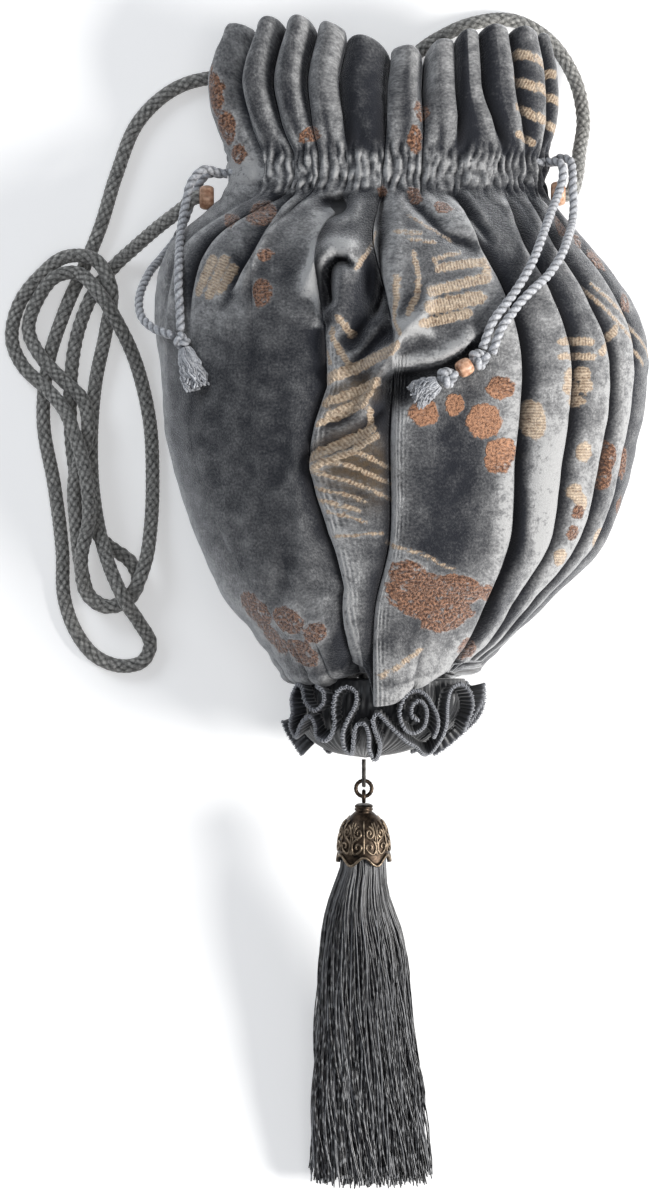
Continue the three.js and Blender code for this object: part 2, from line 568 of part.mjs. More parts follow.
// Knot: a rounded lump with three slanting strands, along X before it is turned. A stem may stand out behind.
function knotShape(size, stem, stemDiameter) {
  const sides = 9;
  const rings = [];
  const ringAt = (x, radius, twist) => {
    const ring = [];
    for (let k = 0; k < sides; k += 1) {
      const angle = (2 * Math.PI * k) / sides;
      const r = radius * (1 + 0.14 * Math.cos(3 * angle + twist));
      ring.push(new THREE.Vector3(x, r * Math.cos(angle), r * Math.sin(angle)));
    }
    return ring;
  };
  if (stem > 0) {
    rings.push([new THREE.Vector3(-size.length / 2 - stem, 0, 0)]);
    rings.push(ringAt(-size.length / 2 - stem, stemDiameter / 2.3, 0));
    rings.push(ringAt(-size.length / 2, stemDiameter / 2.3, 0));
  } else {
    rings.push([new THREE.Vector3(-size.length / 2, 0, 0)]);
  }
  for (let n = 1; n < 7; n += 1) {
    const f = n / 7;
    const x = size.length * (f - 0.5);
    rings.push(ringAt(x, (size.width / 2 / 1.14) * Math.sqrt(Math.sin(Math.PI * f)), 5 * f));
  }
  rings.push([new THREE.Vector3(size.length / 2, 0, 0)]);
  return loft(rings);
}

// Frayed end: threads opening out of the cord, along X before it is turned.
function frayShape(size) {
  const rings = [[new THREE.Vector3(0, 0, 0)]];
  for (const [f, flat] of [[0, 1], [0.3, 0.9], [0.65, 0.7], [1, 0.5]]) {
    const ring = [];
    const radius = DRAWSTRING_DIAMETER * 0.45 + (size.width / 2 - DRAWSTRING_DIAMETER * 0.45) * f;
    for (let k = 0; k < 12; k += 1) {
      const angle = (2 * Math.PI * k) / 12;
      const r = radius * (1 + (k % 2 ? -0.28 : 0) * f);
      ring.push(new THREE.Vector3(size.length * f, r * Math.cos(angle), flat * r * Math.sin(angle)));
    }
    rings.push(ring);
  }
  rings.push([new THREE.Vector3(size.length * 0.9, 0, 0)]);
  return loft(rings);
}

// Puts a shape that points along X at a place, turned about Z and then tipped.
function lay(geometry, at, turn, tip) {
  geometry.rotateY(THREE.MathUtils.degToRad(tip));
  geometry.rotateZ(THREE.MathUtils.degToRad(turn));
  return geometry.translate(at.x, at.y, at.z);
}
function stepFrom(at, turn, tip, distance) {
  const a = THREE.MathUtils.degToRad(turn);
  const b = THREE.MathUtils.degToRad(tip);
  return {
    x: at.x + distance * Math.cos(a) * Math.cos(b),
    y: at.y + distance * Math.sin(a) * Math.cos(b),
    z: at.z - distance * Math.sin(b),
  };
}

piece("left_knot", lay(knotShape(LEFT_KNOT_SIZE, 0, 0), LEFT_KNOT, LEFT_TAIL_TURN, LEFT_TAIL_TIP), CORD);
const leftStep = LEFT_KNOT_SIZE.length / 2 + CLEARANCE;
const leftTail = stepFrom(LEFT_KNOT, LEFT_TAIL_TURN, LEFT_TAIL_TIP, leftStep);
piece("left_fray", lay(frayShape(LEFT_FRAY_SIZE), leftTail, LEFT_TAIL_TURN, LEFT_TAIL_TIP), CORD);

const rightStep = RIGHT_KNOT_SIZE.length / 2 + CLEARANCE;
const beadStep = rightStep + DROP_BEAD_LENGTH / 2;
const dropBead = stepFrom(RIGHT_KNOT, RIGHT_TAIL_TURN, RIGHT_TAIL_TIP, beadStep - 2 * CLEARANCE);
const lowerKnot = stepFrom(dropBead, RIGHT_TAIL_TURN, RIGHT_TAIL_TIP, beadStep);
const rightTail = stepFrom(lowerKnot, RIGHT_TAIL_TURN, RIGHT_TAIL_TIP, rightStep);
const stem = DROP_BEAD_LENGTH - CLEARANCE;
const dropBore = DRAWSTRING_DIAMETER + 2 * CLEARANCE;
const onTail = (shape, at) => lay(shape, at, RIGHT_TAIL_TURN, RIGHT_TAIL_TIP);
piece("right_upper_knot", onTail(knotShape(RIGHT_KNOT_SIZE, 0, 0), RIGHT_KNOT), CORD);
piece("drop_bead", onTail(barrel(DROP_BEAD_DIAMETER, DROP_BEAD_LENGTH, dropBore, 12), dropBead), COPPER);
piece("right_lower_knot", onTail(knotShape(RIGHT_KNOT_SIZE, stem, DRAWSTRING_DIAMETER), lowerKnot), CORD);
piece("right_fray", lay(frayShape(RIGHT_FRAY_SIZE), rightTail, RIGHT_TAIL_TURN, RIGHT_FRAY_TIP), CORD);

// Rosette: a domed pad under the base, with a ribbon on edge wandering over it and a curl beside that.
const padProfile = new THREE.SplineCurve([
  [28, 0], [29.2, 0.26], [27.4, 0.52], [21.5, 0.76], [12, 0.93], [0, 1],
].map(([r, f]) => new THREE.Vector2(r, f * ROSETTE_DEPTH)));
function rosettePoint(radius, depth, angle) {
  const f = depth / ROSETTE_DEPTH;
  return new THREE.Vector3(
    ROSETTE_X + ROSETTE_SHEAR * f * f + radius * Math.cos(angle),
    ROSETTE_TOP_Y - depth,
    ROSETTE_Z + (LINK_Z - ROSETTE_Z) * f * f + radius * Math.sin(angle),
  );
}
const padRings = [[rosettePoint(0, 0, 0)]];
for (let n = 0; n <= 7; n += 1) {
  const q = padProfile.getPoint(n / 7);
  if (n === 7) {
    padRings.push([rosettePoint(0, ROSETTE_DEPTH, 0)]);
  } else {
    const ring = [];
    for (let k = 0; k < 24; k += 1) {
      ring.push(rosettePoint(q.x, q.y, (2 * Math.PI * k) / 24));
    }
    padRings.push(ring);
  }
}
piece("rosette_pad", loft(padRings), SATIN);

function padAt(h, out) {
  const q = padProfile.getPoint(h);
  const slope = padProfile.getTangent(h);
  return { radius: q.x + slope.y * out, depth: q.y - slope.x * out };
}
const ribbonReach = RIBBON_SEAT + RIBBON_HEIGHT;
const padRound = 28;
const padFall = 42;

// Distance round the pad and down it, below a place of the ribbon's outer edge.
function onPad([x, y]) {
  let above = 0;
  let below = 1;
  for (let n = 0; n < 20; n += 1) {
    const h = (above + below) / 2;
    if (padAt(h, ribbonReach).depth < ROSETTE_TOP_Y - y) {
      above = h;
    } else {
      below = h;
    }
  }
  const edge = padAt(above, ribbonReach);
  const f = edge.depth / ROSETTE_DEPTH;
  const across = (x - ROSETTE_X - ROSETTE_SHEAR * f * f) / edge.radius;
  const angle = Math.acos(THREE.MathUtils.clamp(across, -1, 1));
  return new THREE.Vector3(padRound * angle, padFall * above, 0);
}

function ribbonOnEdge(places) {
  const line = new THREE.CatmullRomCurve3(places, false, "centripetal");
  const steps = 2 * (places.length - 1);
  const middles = [];
  for (let n = 0; n <= steps; n += 1) {
    const p = line.getPoint(n / steps);
    const h = THREE.MathUtils.clamp(p.y / padFall, 0.01, 0.985);
    const low = padAt(h, RIBBON_SEAT);
    const high = padAt(h, ribbonReach);
    middles.push({
      low: rosettePoint(low.radius, low.depth, p.x / padRound),
      high: rosettePoint(high.radius, high.depth, p.x / padRound),
    });
  }
  const rings = middles.map((m, n) => {
    const before = middles[Math.max(n - 1, 0)].low;
    const after = middles[Math.min(n + 1, steps)].low;
    const ahead = after.clone().sub(before).normalize();
    const up = m.high.clone().sub(m.low).normalize();
    const side = ahead.cross(up).normalize().multiplyScalar(RIBBON_THICKNESS / 2);
    return [
      m.low.clone().add(side), m.high.clone().add(side),
      m.high.clone().sub(side), m.low.clone().sub(side),
    ];
  });
  return loft([[centreOf(rings[0])], ...rings, [centreOf(rings[steps])]]);
}

const ribbonPlaces = RIBBON_LINE.map(onPad);
const frontEnd = ribbonPlaces[ribbonPlaces.length - 1].x;
for (let k = 1; k <= 4 * BACK_WAVES; k += 1) {
  const t = k / (4 * BACK_WAVES);
  const round = frontEnd - t * (padRound * Math.PI * 0.93 + frontEnd);
  const h = 0.36 - 0.26 * Math.sin(2 * Math.PI * BACK_WAVES * t);
  ribbonPlaces.push(new THREE.Vector3(round, padFall * h, 0));
}
piece("ruffle_ribbon", ribbonOnEdge(ribbonPlaces), RIBBON);
piece("ribbon_curl", ribbonOnEdge(CURL_LINE.map(onPad)), RIBBON);

// Links: a sewn thread loop, a jump ring lying flat and a wire loop on the cap, each square to the next.
const linkRadius = RING_WIRE / 2 + CLEARANCE + LOOP_WIRE / 2;
const upperWire = RING_Y + RING_RADIUS;
const lowerWire = RING_Y - RING_RADIUS;
const padTip = ROSETTE_TOP_Y - ROSETTE_DEPTH - CLEARANCE - 0.2;
const halfway = (padTip + upperWire) / 2;
const aboveWire = LINK_Z + linkRadius;
const belowWire = LINK_Z - linkRadius;
const anchorPoints = [[LINK_X, padTip, aboveWire], [LINK_X, halfway, aboveWire]];
for (let k = 0; k <= 6; k += 1) {
  const angle = (Math.PI * k) / 6;
  const y = upperWire - linkRadius * Math.sin(angle);
  anchorPoints.push([LINK_X, y, LINK_Z + linkRadius * Math.cos(angle)]);
}
anchorPoints.push([LINK_X, halfway, belowWire], [LINK_X, padTip, belowWire]);
piece("anchor_loop", tube(anchorPoints, LOOP_WIRE, 1, 6), THREADS);
const jumpRing = new THREE.TorusGeometry(RING_RADIUS, RING_WIRE / 2, 6, 14);
piece("jump_ring", jumpRing.translate(LINK_X, RING_Y, LINK_Z), BRONZE);
const capLoop = new THREE.TorusGeometry(linkRadius, LOOP_WIRE / 2, 6, 12).rotateY(Math.PI / 2);
piece("cap_loop", capLoop.translate(LINK_X, lowerWire, LINK_Z), BRONZE);

// Tassel: distances run down from the top of the cap along its tilted middle line.
const capTop = lowerWire - linkRadius - LOOP_WIRE / 2 - CLEARANCE;
const tilt = THREE.MathUtils.degToRad(TASSEL_TILT);
function tasselPoint(down, across, above) {
  return new THREE.Vector3(
    LINK_X + across,
    capTop - down * Math.cos(tilt) - above * Math.sin(tilt),
    LINK_Z - down * Math.sin(tilt) + above * Math.cos(tilt),
  );
}
function tasselRing(down, sides, radiusAt, downAt = () => 0, flat = 1, shift = 0) {
  const ring = [];
  for (let k = 0; k < sides; k += 1) {
    const angle = (2 * Math.PI * k) / sides;
    const r = radiusAt(angle, k);
    ring.push(tasselPoint(down + downAt(angle), shift + r * Math.cos(angle), flat * r * Math.sin(angle)));
  }
  return ring;
}
const CAP_PROFILE = [
  [3.1, 0], [3.1, 1.6], [2.7, 2.2], [3.8, 3.2], [5.4, 4.8], [7.2, 7.4], [8.3, 11], [8.8, 15], [8.9, 18.6],
];
const capEdge = CAP_PROFILE[CAP_PROFILE.length - 1];
const capSides = 4 * CAP_POINTS;
const scallop = (angle) => CAP_SCALLOP * Math.cos(CAP_POINTS * angle);
const capRings = [[tasselPoint(0, 0, 0)]];
for (const [r, d] of CAP_PROFILE.slice(0, -1)) {
  capRings.push(tasselRing(d, capSides, () => r));
}
capRings.push(tasselRing(capEdge[1], capSides, () => capEdge[0], scallop));
capRings.push(tasselRing(capEdge[1], capSides, () => capEdge[0] - CAP_WALL, scallop));
for (const n of [7, 6, 5]) {
  const [r, d] = CAP_PROFILE[n];
  capRings.push(tasselRing(d, capSides, () => r - CAP_WALL));
}
capRings.push(tasselRing(CAP_PROFILE[4][1] + CAP_WALL, capSides, () => CAP_PROFILE[4][0] - CAP_WALL));
capRings.push([tasselPoint(CAP_PROFILE[4][1] + CAP_WALL, 0, 0)]);
piece("tassel_cap", loft(capRings), BRONZE);

// Skirt: locks of thread that open out below the cap and lie flatter towards their ends.
const SKIRT_PROFILE = [
  { down: 6.2, wide: 4.1, flat: 1, shift: 0 },
  { down: 8.2, wide: 5.9, flat: 1, shift: 0 },
  { down: 13, wide: 7.3, flat: 1, shift: 0 },
  { down: 21, wide: 7.7, flat: 1, shift: 0 },
  { down: 33, wide: 10.4, flat: 0.88, shift: -1.2 },
  { down: 50, wide: 14.6, flat: 0.68, shift: -0.2 },
  { down: 74, wide: 16.6, flat: 0.56, shift: 0.2 },
  { down: 102, wide: 19, flat: 0.46, shift: 1.4 },
  { down: 134, wide: 20.8, flat: 0.41, shift: 2.6 },
];
const skirtRings = [[tasselPoint(SKIRT_PROFILE[0].down, 0, 0)]];
for (const row of SKIRT_PROFILE) {
  const groove = row.down > 21 ? SKIRT_GROOVE : 0;
  const radius = (angle, k) => row.wide * (1 - (k % 2 ? groove : 0));
  skirtRings.push(tasselRing(row.down, 2 * SKIRT_LOCKS, radius, () => 0, row.flat, row.shift));
}
const hem = SKIRT_PROFILE[SKIRT_PROFILE.length - 1];
skirtRings.push([tasselPoint(hem.down - 2, hem.shift, 0)]);
piece("tassel_skirt", loft(skirtRings), THREADS);

export default bag;
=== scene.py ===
# %% [markdown]
# # A gathered velvet drawstring bag, laid on its back
#
# The bag is a pouch of velvet, gathered on two drawstrings below a puffed frill. A ruched ribbon rosette
# closes its base, a tassel hangs from the rosette, and a braided carry cord lies in a hank beside it.
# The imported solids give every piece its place. This script dresses them: it builds cloth, cords and
# threads on the same lines, in metres, with +Z up from the table and +Y towards the frill.

# %% Load the frame
import math

import bmesh
import bpy
import numpy as np
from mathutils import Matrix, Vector, noise


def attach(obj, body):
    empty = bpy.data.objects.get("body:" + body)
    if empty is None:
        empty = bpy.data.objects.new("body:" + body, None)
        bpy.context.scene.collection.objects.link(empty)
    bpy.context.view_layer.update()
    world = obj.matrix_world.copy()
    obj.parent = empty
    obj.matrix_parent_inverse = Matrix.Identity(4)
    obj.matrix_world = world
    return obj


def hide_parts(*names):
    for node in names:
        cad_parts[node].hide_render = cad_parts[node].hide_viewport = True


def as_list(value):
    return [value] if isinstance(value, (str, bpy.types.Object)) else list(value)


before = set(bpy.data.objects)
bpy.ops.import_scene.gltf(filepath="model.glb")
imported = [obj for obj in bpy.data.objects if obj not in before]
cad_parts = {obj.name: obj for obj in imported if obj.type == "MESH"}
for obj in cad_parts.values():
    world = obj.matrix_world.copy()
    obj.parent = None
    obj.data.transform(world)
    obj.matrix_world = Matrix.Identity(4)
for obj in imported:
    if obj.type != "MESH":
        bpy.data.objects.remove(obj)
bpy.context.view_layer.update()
scene = bpy.context.scene
MM = 0.001

# %% [markdown]
# ## Camera, table and light
#
# The picture was taken from straight above, so a long lens looks down the Z axis with the frill at the
# top. The table is a plain pale sheet. Velvet shows its shape by the pale sheen of its pile at glancing
# angles, so the main light is a soft window low on the right. A cool fill comes from the upper left, and a
# little light from above.

# %% Camera above the table
PICTURE_SIZE = (649, 1200)
PICTURE_HEIGHT = 0.408
PICTURE_MIDDLE = (-0.0202, -0.0612)
OUTLINE_HEIGHT = 0.045
CAMERA_DISTANCE = 2.6

camera_data = bpy.data.cameras.new("camera")
camera_data.sensor_width = 36.0
camera_data.lens = camera_data.sensor_width * CAMERA_DISTANCE / PICTURE_HEIGHT
camera = bpy.data.objects.new("camera", camera_data)
camera.location = (*PICTURE_MIDDLE, OUTLINE_HEIGHT + CAMERA_DISTANCE)
scene.collection.objects.link(camera)
scene.camera = camera
print("lens", round(camera_data.lens), "mm for a picture of", PICTURE_SIZE)


# %% Helpers for materials
def settle(node, **settings):
    """Gives a node its settings: its own properties by name, or else its sockets, with _ for a space."""
    for key, value in settings.items():
        if hasattr(node, key):
            setattr(node, key, value)
        else:
            node.inputs[key.replace("_", " ")].default_value = value
    return node


class Finish:
    """A new material, with short ways to add, reckon and join its shader nodes."""

    def __init__(self, name):
        self.material = bpy.data.materials.new(name)
        self.material.use_nodes = True
        self.tree = self.material.node_tree
        self.surface = next(n for n in self.tree.nodes if n.type == "BSDF_PRINCIPLED")

    def add(self, kind, **settings):
        return settle(self.tree.nodes.new(kind), **settings)

    def feed(self, socket, value):
        """Gives a socket a colour, a number or what another node puts out."""
        if isinstance(value, tuple):
            socket.default_value = (*value, 1)
        elif isinstance(value, (int, float)):
            socket.default_value = value
        else:
            self.tree.links.new(value, socket)

    def run(self, operation, *values, clamp=False):
        """One step of arithmetic."""
        node = self.add("ShaderNodeMath", operation=operation, use_clamp=clamp)
        for socket, value in zip(node.inputs, values):
            self.feed(socket, value)
        return node.outputs[0]

    def fit(self, value, gain, start):
        """A value times a gain, plus a start, kept between 0 and 1."""
        return self.run("MULTIPLY_ADD", value, gain, start, clamp=True)

    def mix(self, factor, first, second):
        """A colour between two others."""
        node = self.add("ShaderNodeMix", data_type="RGBA")
        for number, value in ((0, factor), (6, first), (7, second)):
            self.feed(node.inputs[number], value)
        return node.outputs[2]

    def value(self, name):
        """A value that the mesh keeps at its points."""
        return self.add("ShaderNodeAttribute", attribute_name=name).outputs["Fac"]

    def noise(self, place=None, **settings):
        """Noise that stays with the object, or with the place that is given."""
        node = self.add("ShaderNodeTexNoise", **settings)
        if place is None:
            place = self.add("ShaderNodeTexCoord").outputs["Object"]
        self.feed(node.inputs["Vector"], place)
        return node.outputs["Fac"]

    def ramp(self, value, *stops):
        """Colours by value. A new ramp has two stops already, and further ones are put between them."""
        node = self.add("ShaderNodeValToRGB")
        elements = node.color_ramp.elements
        for k, (position, colour) in enumerate(stops):
            element = elements[k] if k < 2 else elements.new(position)
            element.position = position
            element.color = (*colour, 1)
        self.feed(node.inputs["Fac"], value)
        return node.outputs["Color"]

    def dress(self, colour, height=None, strength=0.0, distance=0.0, **settings):
        """Gives the surface its colour, its fine relief and its other settings."""
        self.feed(self.surface.inputs["Base Color"], colour)
        if height is not None:
            bump = self.add("ShaderNodeBump", Strength=strength, Distance=distance)
            self.feed(bump.inputs["Height"], height)
            self.feed(self.surface.inputs["Normal"], bump.outputs["Normal"])
        settle(self.surface, **settings)
        return self.material


# %% Table and lights
TABLE_SIZE = 6
table_finish = Finish("pale_table")
settle(
    table_finish.surface, Base_Color=(0.8, 0.8, 0.8, 1), Roughness=0.7, Emission_Color=(1, 1, 1, 1),
    Emission_Strength=0.36,
)
bpy.ops.mesh.primitive_plane_add(size=TABLE_SIZE)
table = bpy.context.object
table.name = "table"
table.data.materials.append(table_finish.material)


def soft_light(name, place, size, power, colour):
    """An area light that faces the bag."""
    data = bpy.data.lights.new(name, "AREA")
    data.shape = "DISK"
    data.size = size
    data.energy = power
    data.color = colour
    light = bpy.data.objects.new(name, data)
    light.location = place
    light.rotation_euler = (-Vector(place)).to_track_quat("-Z", "Y").to_euler()
    scene.collection.objects.link(light)


soft_light("window", place=(1.25, -0.3, 0.85), size=0.6, power=36, colour=(1.0, 0.985, 0.96))
soft_light("sky", place=(-1.0, 0.9, 0.9), size=0.7, power=8, colour=(0.88, 0.94, 1.0))
soft_light("ceiling", place=(0.35, -0.1, 2.4), size=0.9, power=7, colour=(1.0, 1.0, 1.0))
scene.view_settings.view_transform = "Standard"
world = bpy.data.worlds.new("room")
world.use_nodes = True
settle(world.node_tree.nodes["Background"], Color=(0.9, 0.93, 1.0, 1), Strength=0.28)
scene.world = world

# %% [markdown]
# ## Meshes from rows of points
#
# Most pieces here are rows of points joined by quads: a tube is rings of points, and cloth is a grid. One
# helper makes the mesh, keeps a UV map when the piece has a pattern that follows its surface, and shades
# it smooth.


# %% Grid meshes
def new_piece(name, points, faces, material, uv=None, values=None):
    """A mesh object at the origin from points in metres, with an optional UV and point values."""
    mesh = bpy.data.meshes.new(name)
    mesh.from_pydata([tuple(p) for p in points], [], faces)
    mesh.materials.append(material)
    mesh.shade_smooth()
    if uv is not None:
        layer = mesh.uv_layers.new(name="cloth")
        corners = np.empty(len(mesh.loops), np.int32)
        mesh.loops.foreach_get("vertex_index", corners)
        layer.data.foreach_set("uv", np.asarray(uv, np.float32)[corners].ravel())
    for key, value in (values or {}).items():
        attribute = mesh.attributes.new(key, "FLOAT", "POINT")
        attribute.data.foreach_set("value", np.asarray(value, np.float32))
    piece = bpy.data.objects.new(name, mesh)
    scene.collection.objects.link(piece)
    return piece


def grid_faces(rows, columns, first=0, ring=False):
    """Quads between rows of points that go right round. In a ring the last row also meets the first."""
    faces = []
    for r in range(rows if ring else rows - 1):
        near, far = first + r * columns, first + (r + 1) % rows * columns
        for c in range(columns):
            d = (c + 1) % columns
            faces.append((near + c, near + d, far + d, far + c))
    return faces


def capped_faces(rows, columns):
    """Faces of a tube that is closed at both ends: an end point, rows of points and the other end point."""
    faces = grid_faces(rows, columns, first=1)
    last = rows * columns + 1
    for c in range(columns):
        d = (c + 1) % columns
        faces += [(0, 1 + d, 1 + c), (last, last - columns + c, last - columns + d)]
    return faces


def full_turn(count):
    """Angles of even steps round a circle."""
    return np.arange(count) / count * 2 * np.pi


def put_on(piece, body, node=None):
    """Puts a piece on the body that it moves with and the solid that it dresses."""
    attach(piece, body)
    if node:
        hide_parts(node)
    print(piece.name, "on", body + ":", len(piece.data.polygons), "faces")


# %% [markdown]
# ## The lines of the bag
#
# A gathered bag is easiest to think of as a row of oval cross-sections from its base to the rim of its
# frill. Creases run up it from section to section and part the cloth into puffs. The same sections and
# creases shaped the solid, so the cloth that is built on them lies where the solid lies.

# %% Sections and creases
# Place along the bag, left and right edge, half thickness, height of the middle: all in millimetres.
SECTIONS = np.array([
    (-85.7, -35.4, 34.6, 34.0, 38.0),
    (-74.8, -43.5, 43.5, 40.0, 41.0),
    (-61.2, -53.7, 56.5, 45.0, 44.0),
    (-40.8, -63.6, 75.8, 49.0, 46.5),
    (-10.2, -73.1, 85.6, 51.0, 48.0),
    (20.4, -76.5, 89.8, 51.0, 48.0),
    (40.8, -78.2, 84.0, 48.0, 46.0),
    (59.5, -73.4, 70.0, 40.0, 41.0),
    (71.4, -61.4, 60.5, 30.0, 35.0),
    (78.6, -55.1, 55.8, 23.5, 31.5),
    (90.1, -54.1, 56.4, 20.5, 29.0),
    (102.0, -58.5, 59.5, 20.5, 28.5),
    (117.3, -60.9, 60.2, 20.5, 28.0),
    (132.6, -55.4, 57.5, 18.0, 27.0),
])
# Section numbers of the foot, waist, shoulder, neck and frill, where the creases are given.
LEVELS = np.array([0.5, 4.0, 6.0, 9.5, 12.0])
# Share of the way round from the left edge over the front, and depth, at each level; how far the cloth
# hangs below the base; how far the frill stands above its mean rim; how far the puff before the crease
# laps over it, or, below zero, the puff after it.
CREASES = [
    ((0.04, 0.03, 0.055, 0.11, 0.094), (2, 0.6, 2.5, 1.8, 4), 0, 1.5, 0),
    ((0.12, 0.075, 0.089, 0.152, 0.139), (2.5, 0.5, 3, 1.8, 4), 1, 3, 0),
    ((0.16, 0.14, 0.15, 0.18, 0.177), (1.5, 0.4, 1, 1.8, 4.5), 0, 2, 0),
    ((0.205, 0.197, 0.2, 0.212, 0.208), (8, 8, 5, 1.8, 4.5), -7, -2, 2),
    ((0.235, 0.2405, 0.245, 0.246, 0.255), (6, 9, 6, 1.8, 5), 9, -8, -2),
    ((0.3, 0.3, 0.29, 0.285, 0.287), (1, 0.5, 2.5, 1.8, 4.5), 3.5, -8, 0),
    ((0.375, 0.331, 0.328, 0.322, 0.317), (6, 8, 5, 1.8, 4.5), -6, -4, 2),
    ((0.41, 0.3736, 0.367, 0.385, 0.344), (5, 6, 4, 1.8, 4.5), -8, -1, 2),
    ((0.44, 0.416, 0.402, 0.42, 0.386), (4, 5, 4, 1.8, 3), -8, 0, 1.5),
    ((0.47, 0.451, 0.445, 0.455, 0.445), (4, 4, 3, 1.8, 3), -6, -2, 1.5),
    ((0.52, 0.52, 0.52, 0.52, 0.52), (4, 3, 3, 1.8, 4), -3, -4, 0),
    ((0.575, 0.575, 0.575, 0.575, 0.575), (3, 2.5, 3, 1.8, 4), -2, -8, 0),
    ((0.64, 0.635, 0.635, 0.64, 0.64), (3, 2, 3, 1.8, 4), 0, -9, 0),
    ((0.7, 0.69, 0.69, 0.7, 0.7), (3, 1.5, 3, 1.8, 4), 0, -11, 0),
    ((0.8, 0.81, 0.81, 0.8, 0.79), (3, 1.5, 3, 1.8, 4), 0, -11, 0),
    ((0.86, 0.865, 0.865, 0.86, 0.86), (3, 2, 3, 1.8, 4), 0, -8, 0),
    ((0.925, 0.925, 0.925, 0.925, 0.925), (3, 2.5, 3, 1.8, 4), 0, -5, 0),
    ((0.985, 0.98, 0.985, 0.985, 0.98), (3, 3, 3, 1.8, 4), 0, -1, 0),
]
DROPS, RIMS, TUCKS = (np.array([c[k] for c in CREASES], float) for k in (2, 3, 4))
CASING_FROM, CASING_TO = 8.6, 10.4


def catmull(values, place):
    """Smooth value at fractional places in a list."""
    last = len(values) - 1
    p = np.clip(place, 0, last)
    i = np.minimum(p.astype(int), last - 1)
    f = p - i
    a, b, c, d = values[np.maximum(i - 1, 0)], values[i], values[i + 1], values[np.minimum(i + 2, last)]
    return 0.5 * (2 * b + (c - a) * f + (2 * a - 5 * b + 4 * c - d) * f**2 + (3 * b - a - 3 * c + d) * f**3)


def section_at(place):
    """Place along the bag, centre, half width, half thickness and middle height at section numbers."""
    y, left, right, half, middle = (catmull(column, np.asarray(place, float)) for column in SECTIONS.T)
    return y, (left + right) / 2, (right - left) / 2, half, middle


FINE_PLACES = np.linspace(0, len(SECTIONS) - 1, 1301)
FINE_YS = section_at(FINE_PLACES)[0]


def place_of(y):
    """Section number at a place along the bag."""
    return np.interp(y, FINE_YS, FINE_PLACES)


def ease(w):
    """A soft step from 0 to 1."""
    w = np.clip(w, 0, 1)
    return w * w * (3 - 2 * w)


def step_at(measure, start, end):
    """A soft step along a measure: 0 up to the start and 1 from the end on, which may be the lower one."""
    return ease((measure - start) / (end - start))


def at_level(values, place):
    """Value of a crease list at section numbers."""
    values = np.asarray(values, float)
    i = np.clip(np.searchsorted(LEVELS, place, side="right") - 1, 0, len(LEVELS) - 2)
    return values[i] + (values[i + 1] - values[i]) * ease((place - LEVELS[i]) / (LEVELS[i + 1] - LEVELS[i]))


def casing_share(place):
    """1 inside the casing and 0 away from it."""
    return np.clip(np.minimum((place - CASING_FROM + 0.7) / 0.7, (CASING_TO + 0.7 - place) / 0.7), 0, 1)


print("bag from", FINE_YS[0], "to", FINE_YS[-1], "mm, with", len(CREASES), "creases")

# %% [markdown]
# ## Cords
#
# Every cord follows the route of its solid: points that are listed, joined by one smooth curve. The carry
# cord is a round braid of wool, whose strands cross in small diamonds. The drawstrings are rayon, laid up
# from two plies. Both reliefs are worked out round the cord and along it, so they are real shape.

# %% Smooth routes and cord tubes
CARRY_DIAMETER = 5.0
DRAWSTRING_DIAMETER = 3.0


def run_along(path):
    """Length along a path at each of its points."""
    return np.concatenate([[0], np.cumsum(np.linalg.norm(np.diff(path, axis=0), axis=1))])


def smooth_route(points, step):
    """An even row of points, a step apart, on the smooth curve through the given points."""
    points = np.asarray(points, float)
    points = np.vstack([2 * points[0] - points[1], points, 2 * points[-1] - points[-2]])
    fine = []
    for p0, p1, p2, p3 in zip(points, points[1:], points[2:], points[3:]):
        k0, k1, k2 = (max(np.linalg.norm(b - a) ** 0.5, 1e-4) for a, b in ((p0, p1), (p1, p2), (p2, p3)))
        t1 = ((p1 - p0) / k0 - (p2 - p0) / (k0 + k1) + (p2 - p1) / k1) * k1
        t2 = ((p2 - p1) / k1 - (p3 - p1) / (k1 + k2) + (p3 - p2) / k2) * k1
        for f in np.arange(16) / 16:
            fine.append(
                (2 * f**3 - 3 * f**2 + 1) * p1 + (f**3 - 2 * f**2 + f) * t1
                + (3 * f**2 - 2 * f**3) * p2 + (f**3 - f**2) * t2
            )
    fine = np.array([*fine, points[-2]])
    run = run_along(fine)
    even = np.linspace(0, run[-1], max(int(run[-1] / step), 4) + 1)
    return np.column_stack([np.interp(even, run, fine[:, k]) for k in range(3)])


def frames_along(path, closed=False):
    """Unit vectors ahead, to the side and up along a path, which turn as little as they can."""
    ahead = np.gradient(path, axis=0)
    if closed:
        ahead = np.roll(path, -1, axis=0) - np.roll(path, 1, axis=0)
    ahead /= np.linalg.norm(ahead, axis=1)[:, None]
    side = np.empty_like(path)
    side[0] = np.cross(ahead[0], (0.13, 0.21, 1.0))
    for i in range(1, len(path)):
        side[i] = side[i - 1] - ahead[i] * (side[i - 1] @ ahead[i])
        side[i] /= np.linalg.norm(side[i])
    side[0] /= np.linalg.norm(side[0])
    return ahead, side, np.cross(ahead, side)


def tube_points(path, side, up, radius, angle):
    """Rings of points round a path."""
    outward = np.cos(angle)[..., None] * side[:, None] + np.sin(angle)[..., None] * up[:, None]
    return path[:, None] + np.asarray(radius)[..., None] * outward


def cord_tube(name, path, diameter, sides, relief, material):
    """A tube round a path in millimetres. relief gives the share of the radius at an angle and a length."""
    _, side, up = frames_along(path)
    angle = full_turn(sides)
    radius = diameter / 2 * relief(angle, run_along(path)[:, None])
    rings = tube_points(path, side, up, radius, angle)
    points = np.vstack([path[:1], rings.reshape(-1, 3), path[-1:]])
    # How far each point stands out of the cord; the finish paints shade in the grooves from it.
    strand = np.concatenate([[1], (radius / radius.max()).ravel(), [1]])
    strand = (strand - strand.min()) / max(np.ptp(strand), 0.01)
    return new_piece(name, points * MM, capped_faces(len(path), sides), material, values={"strand": strand})


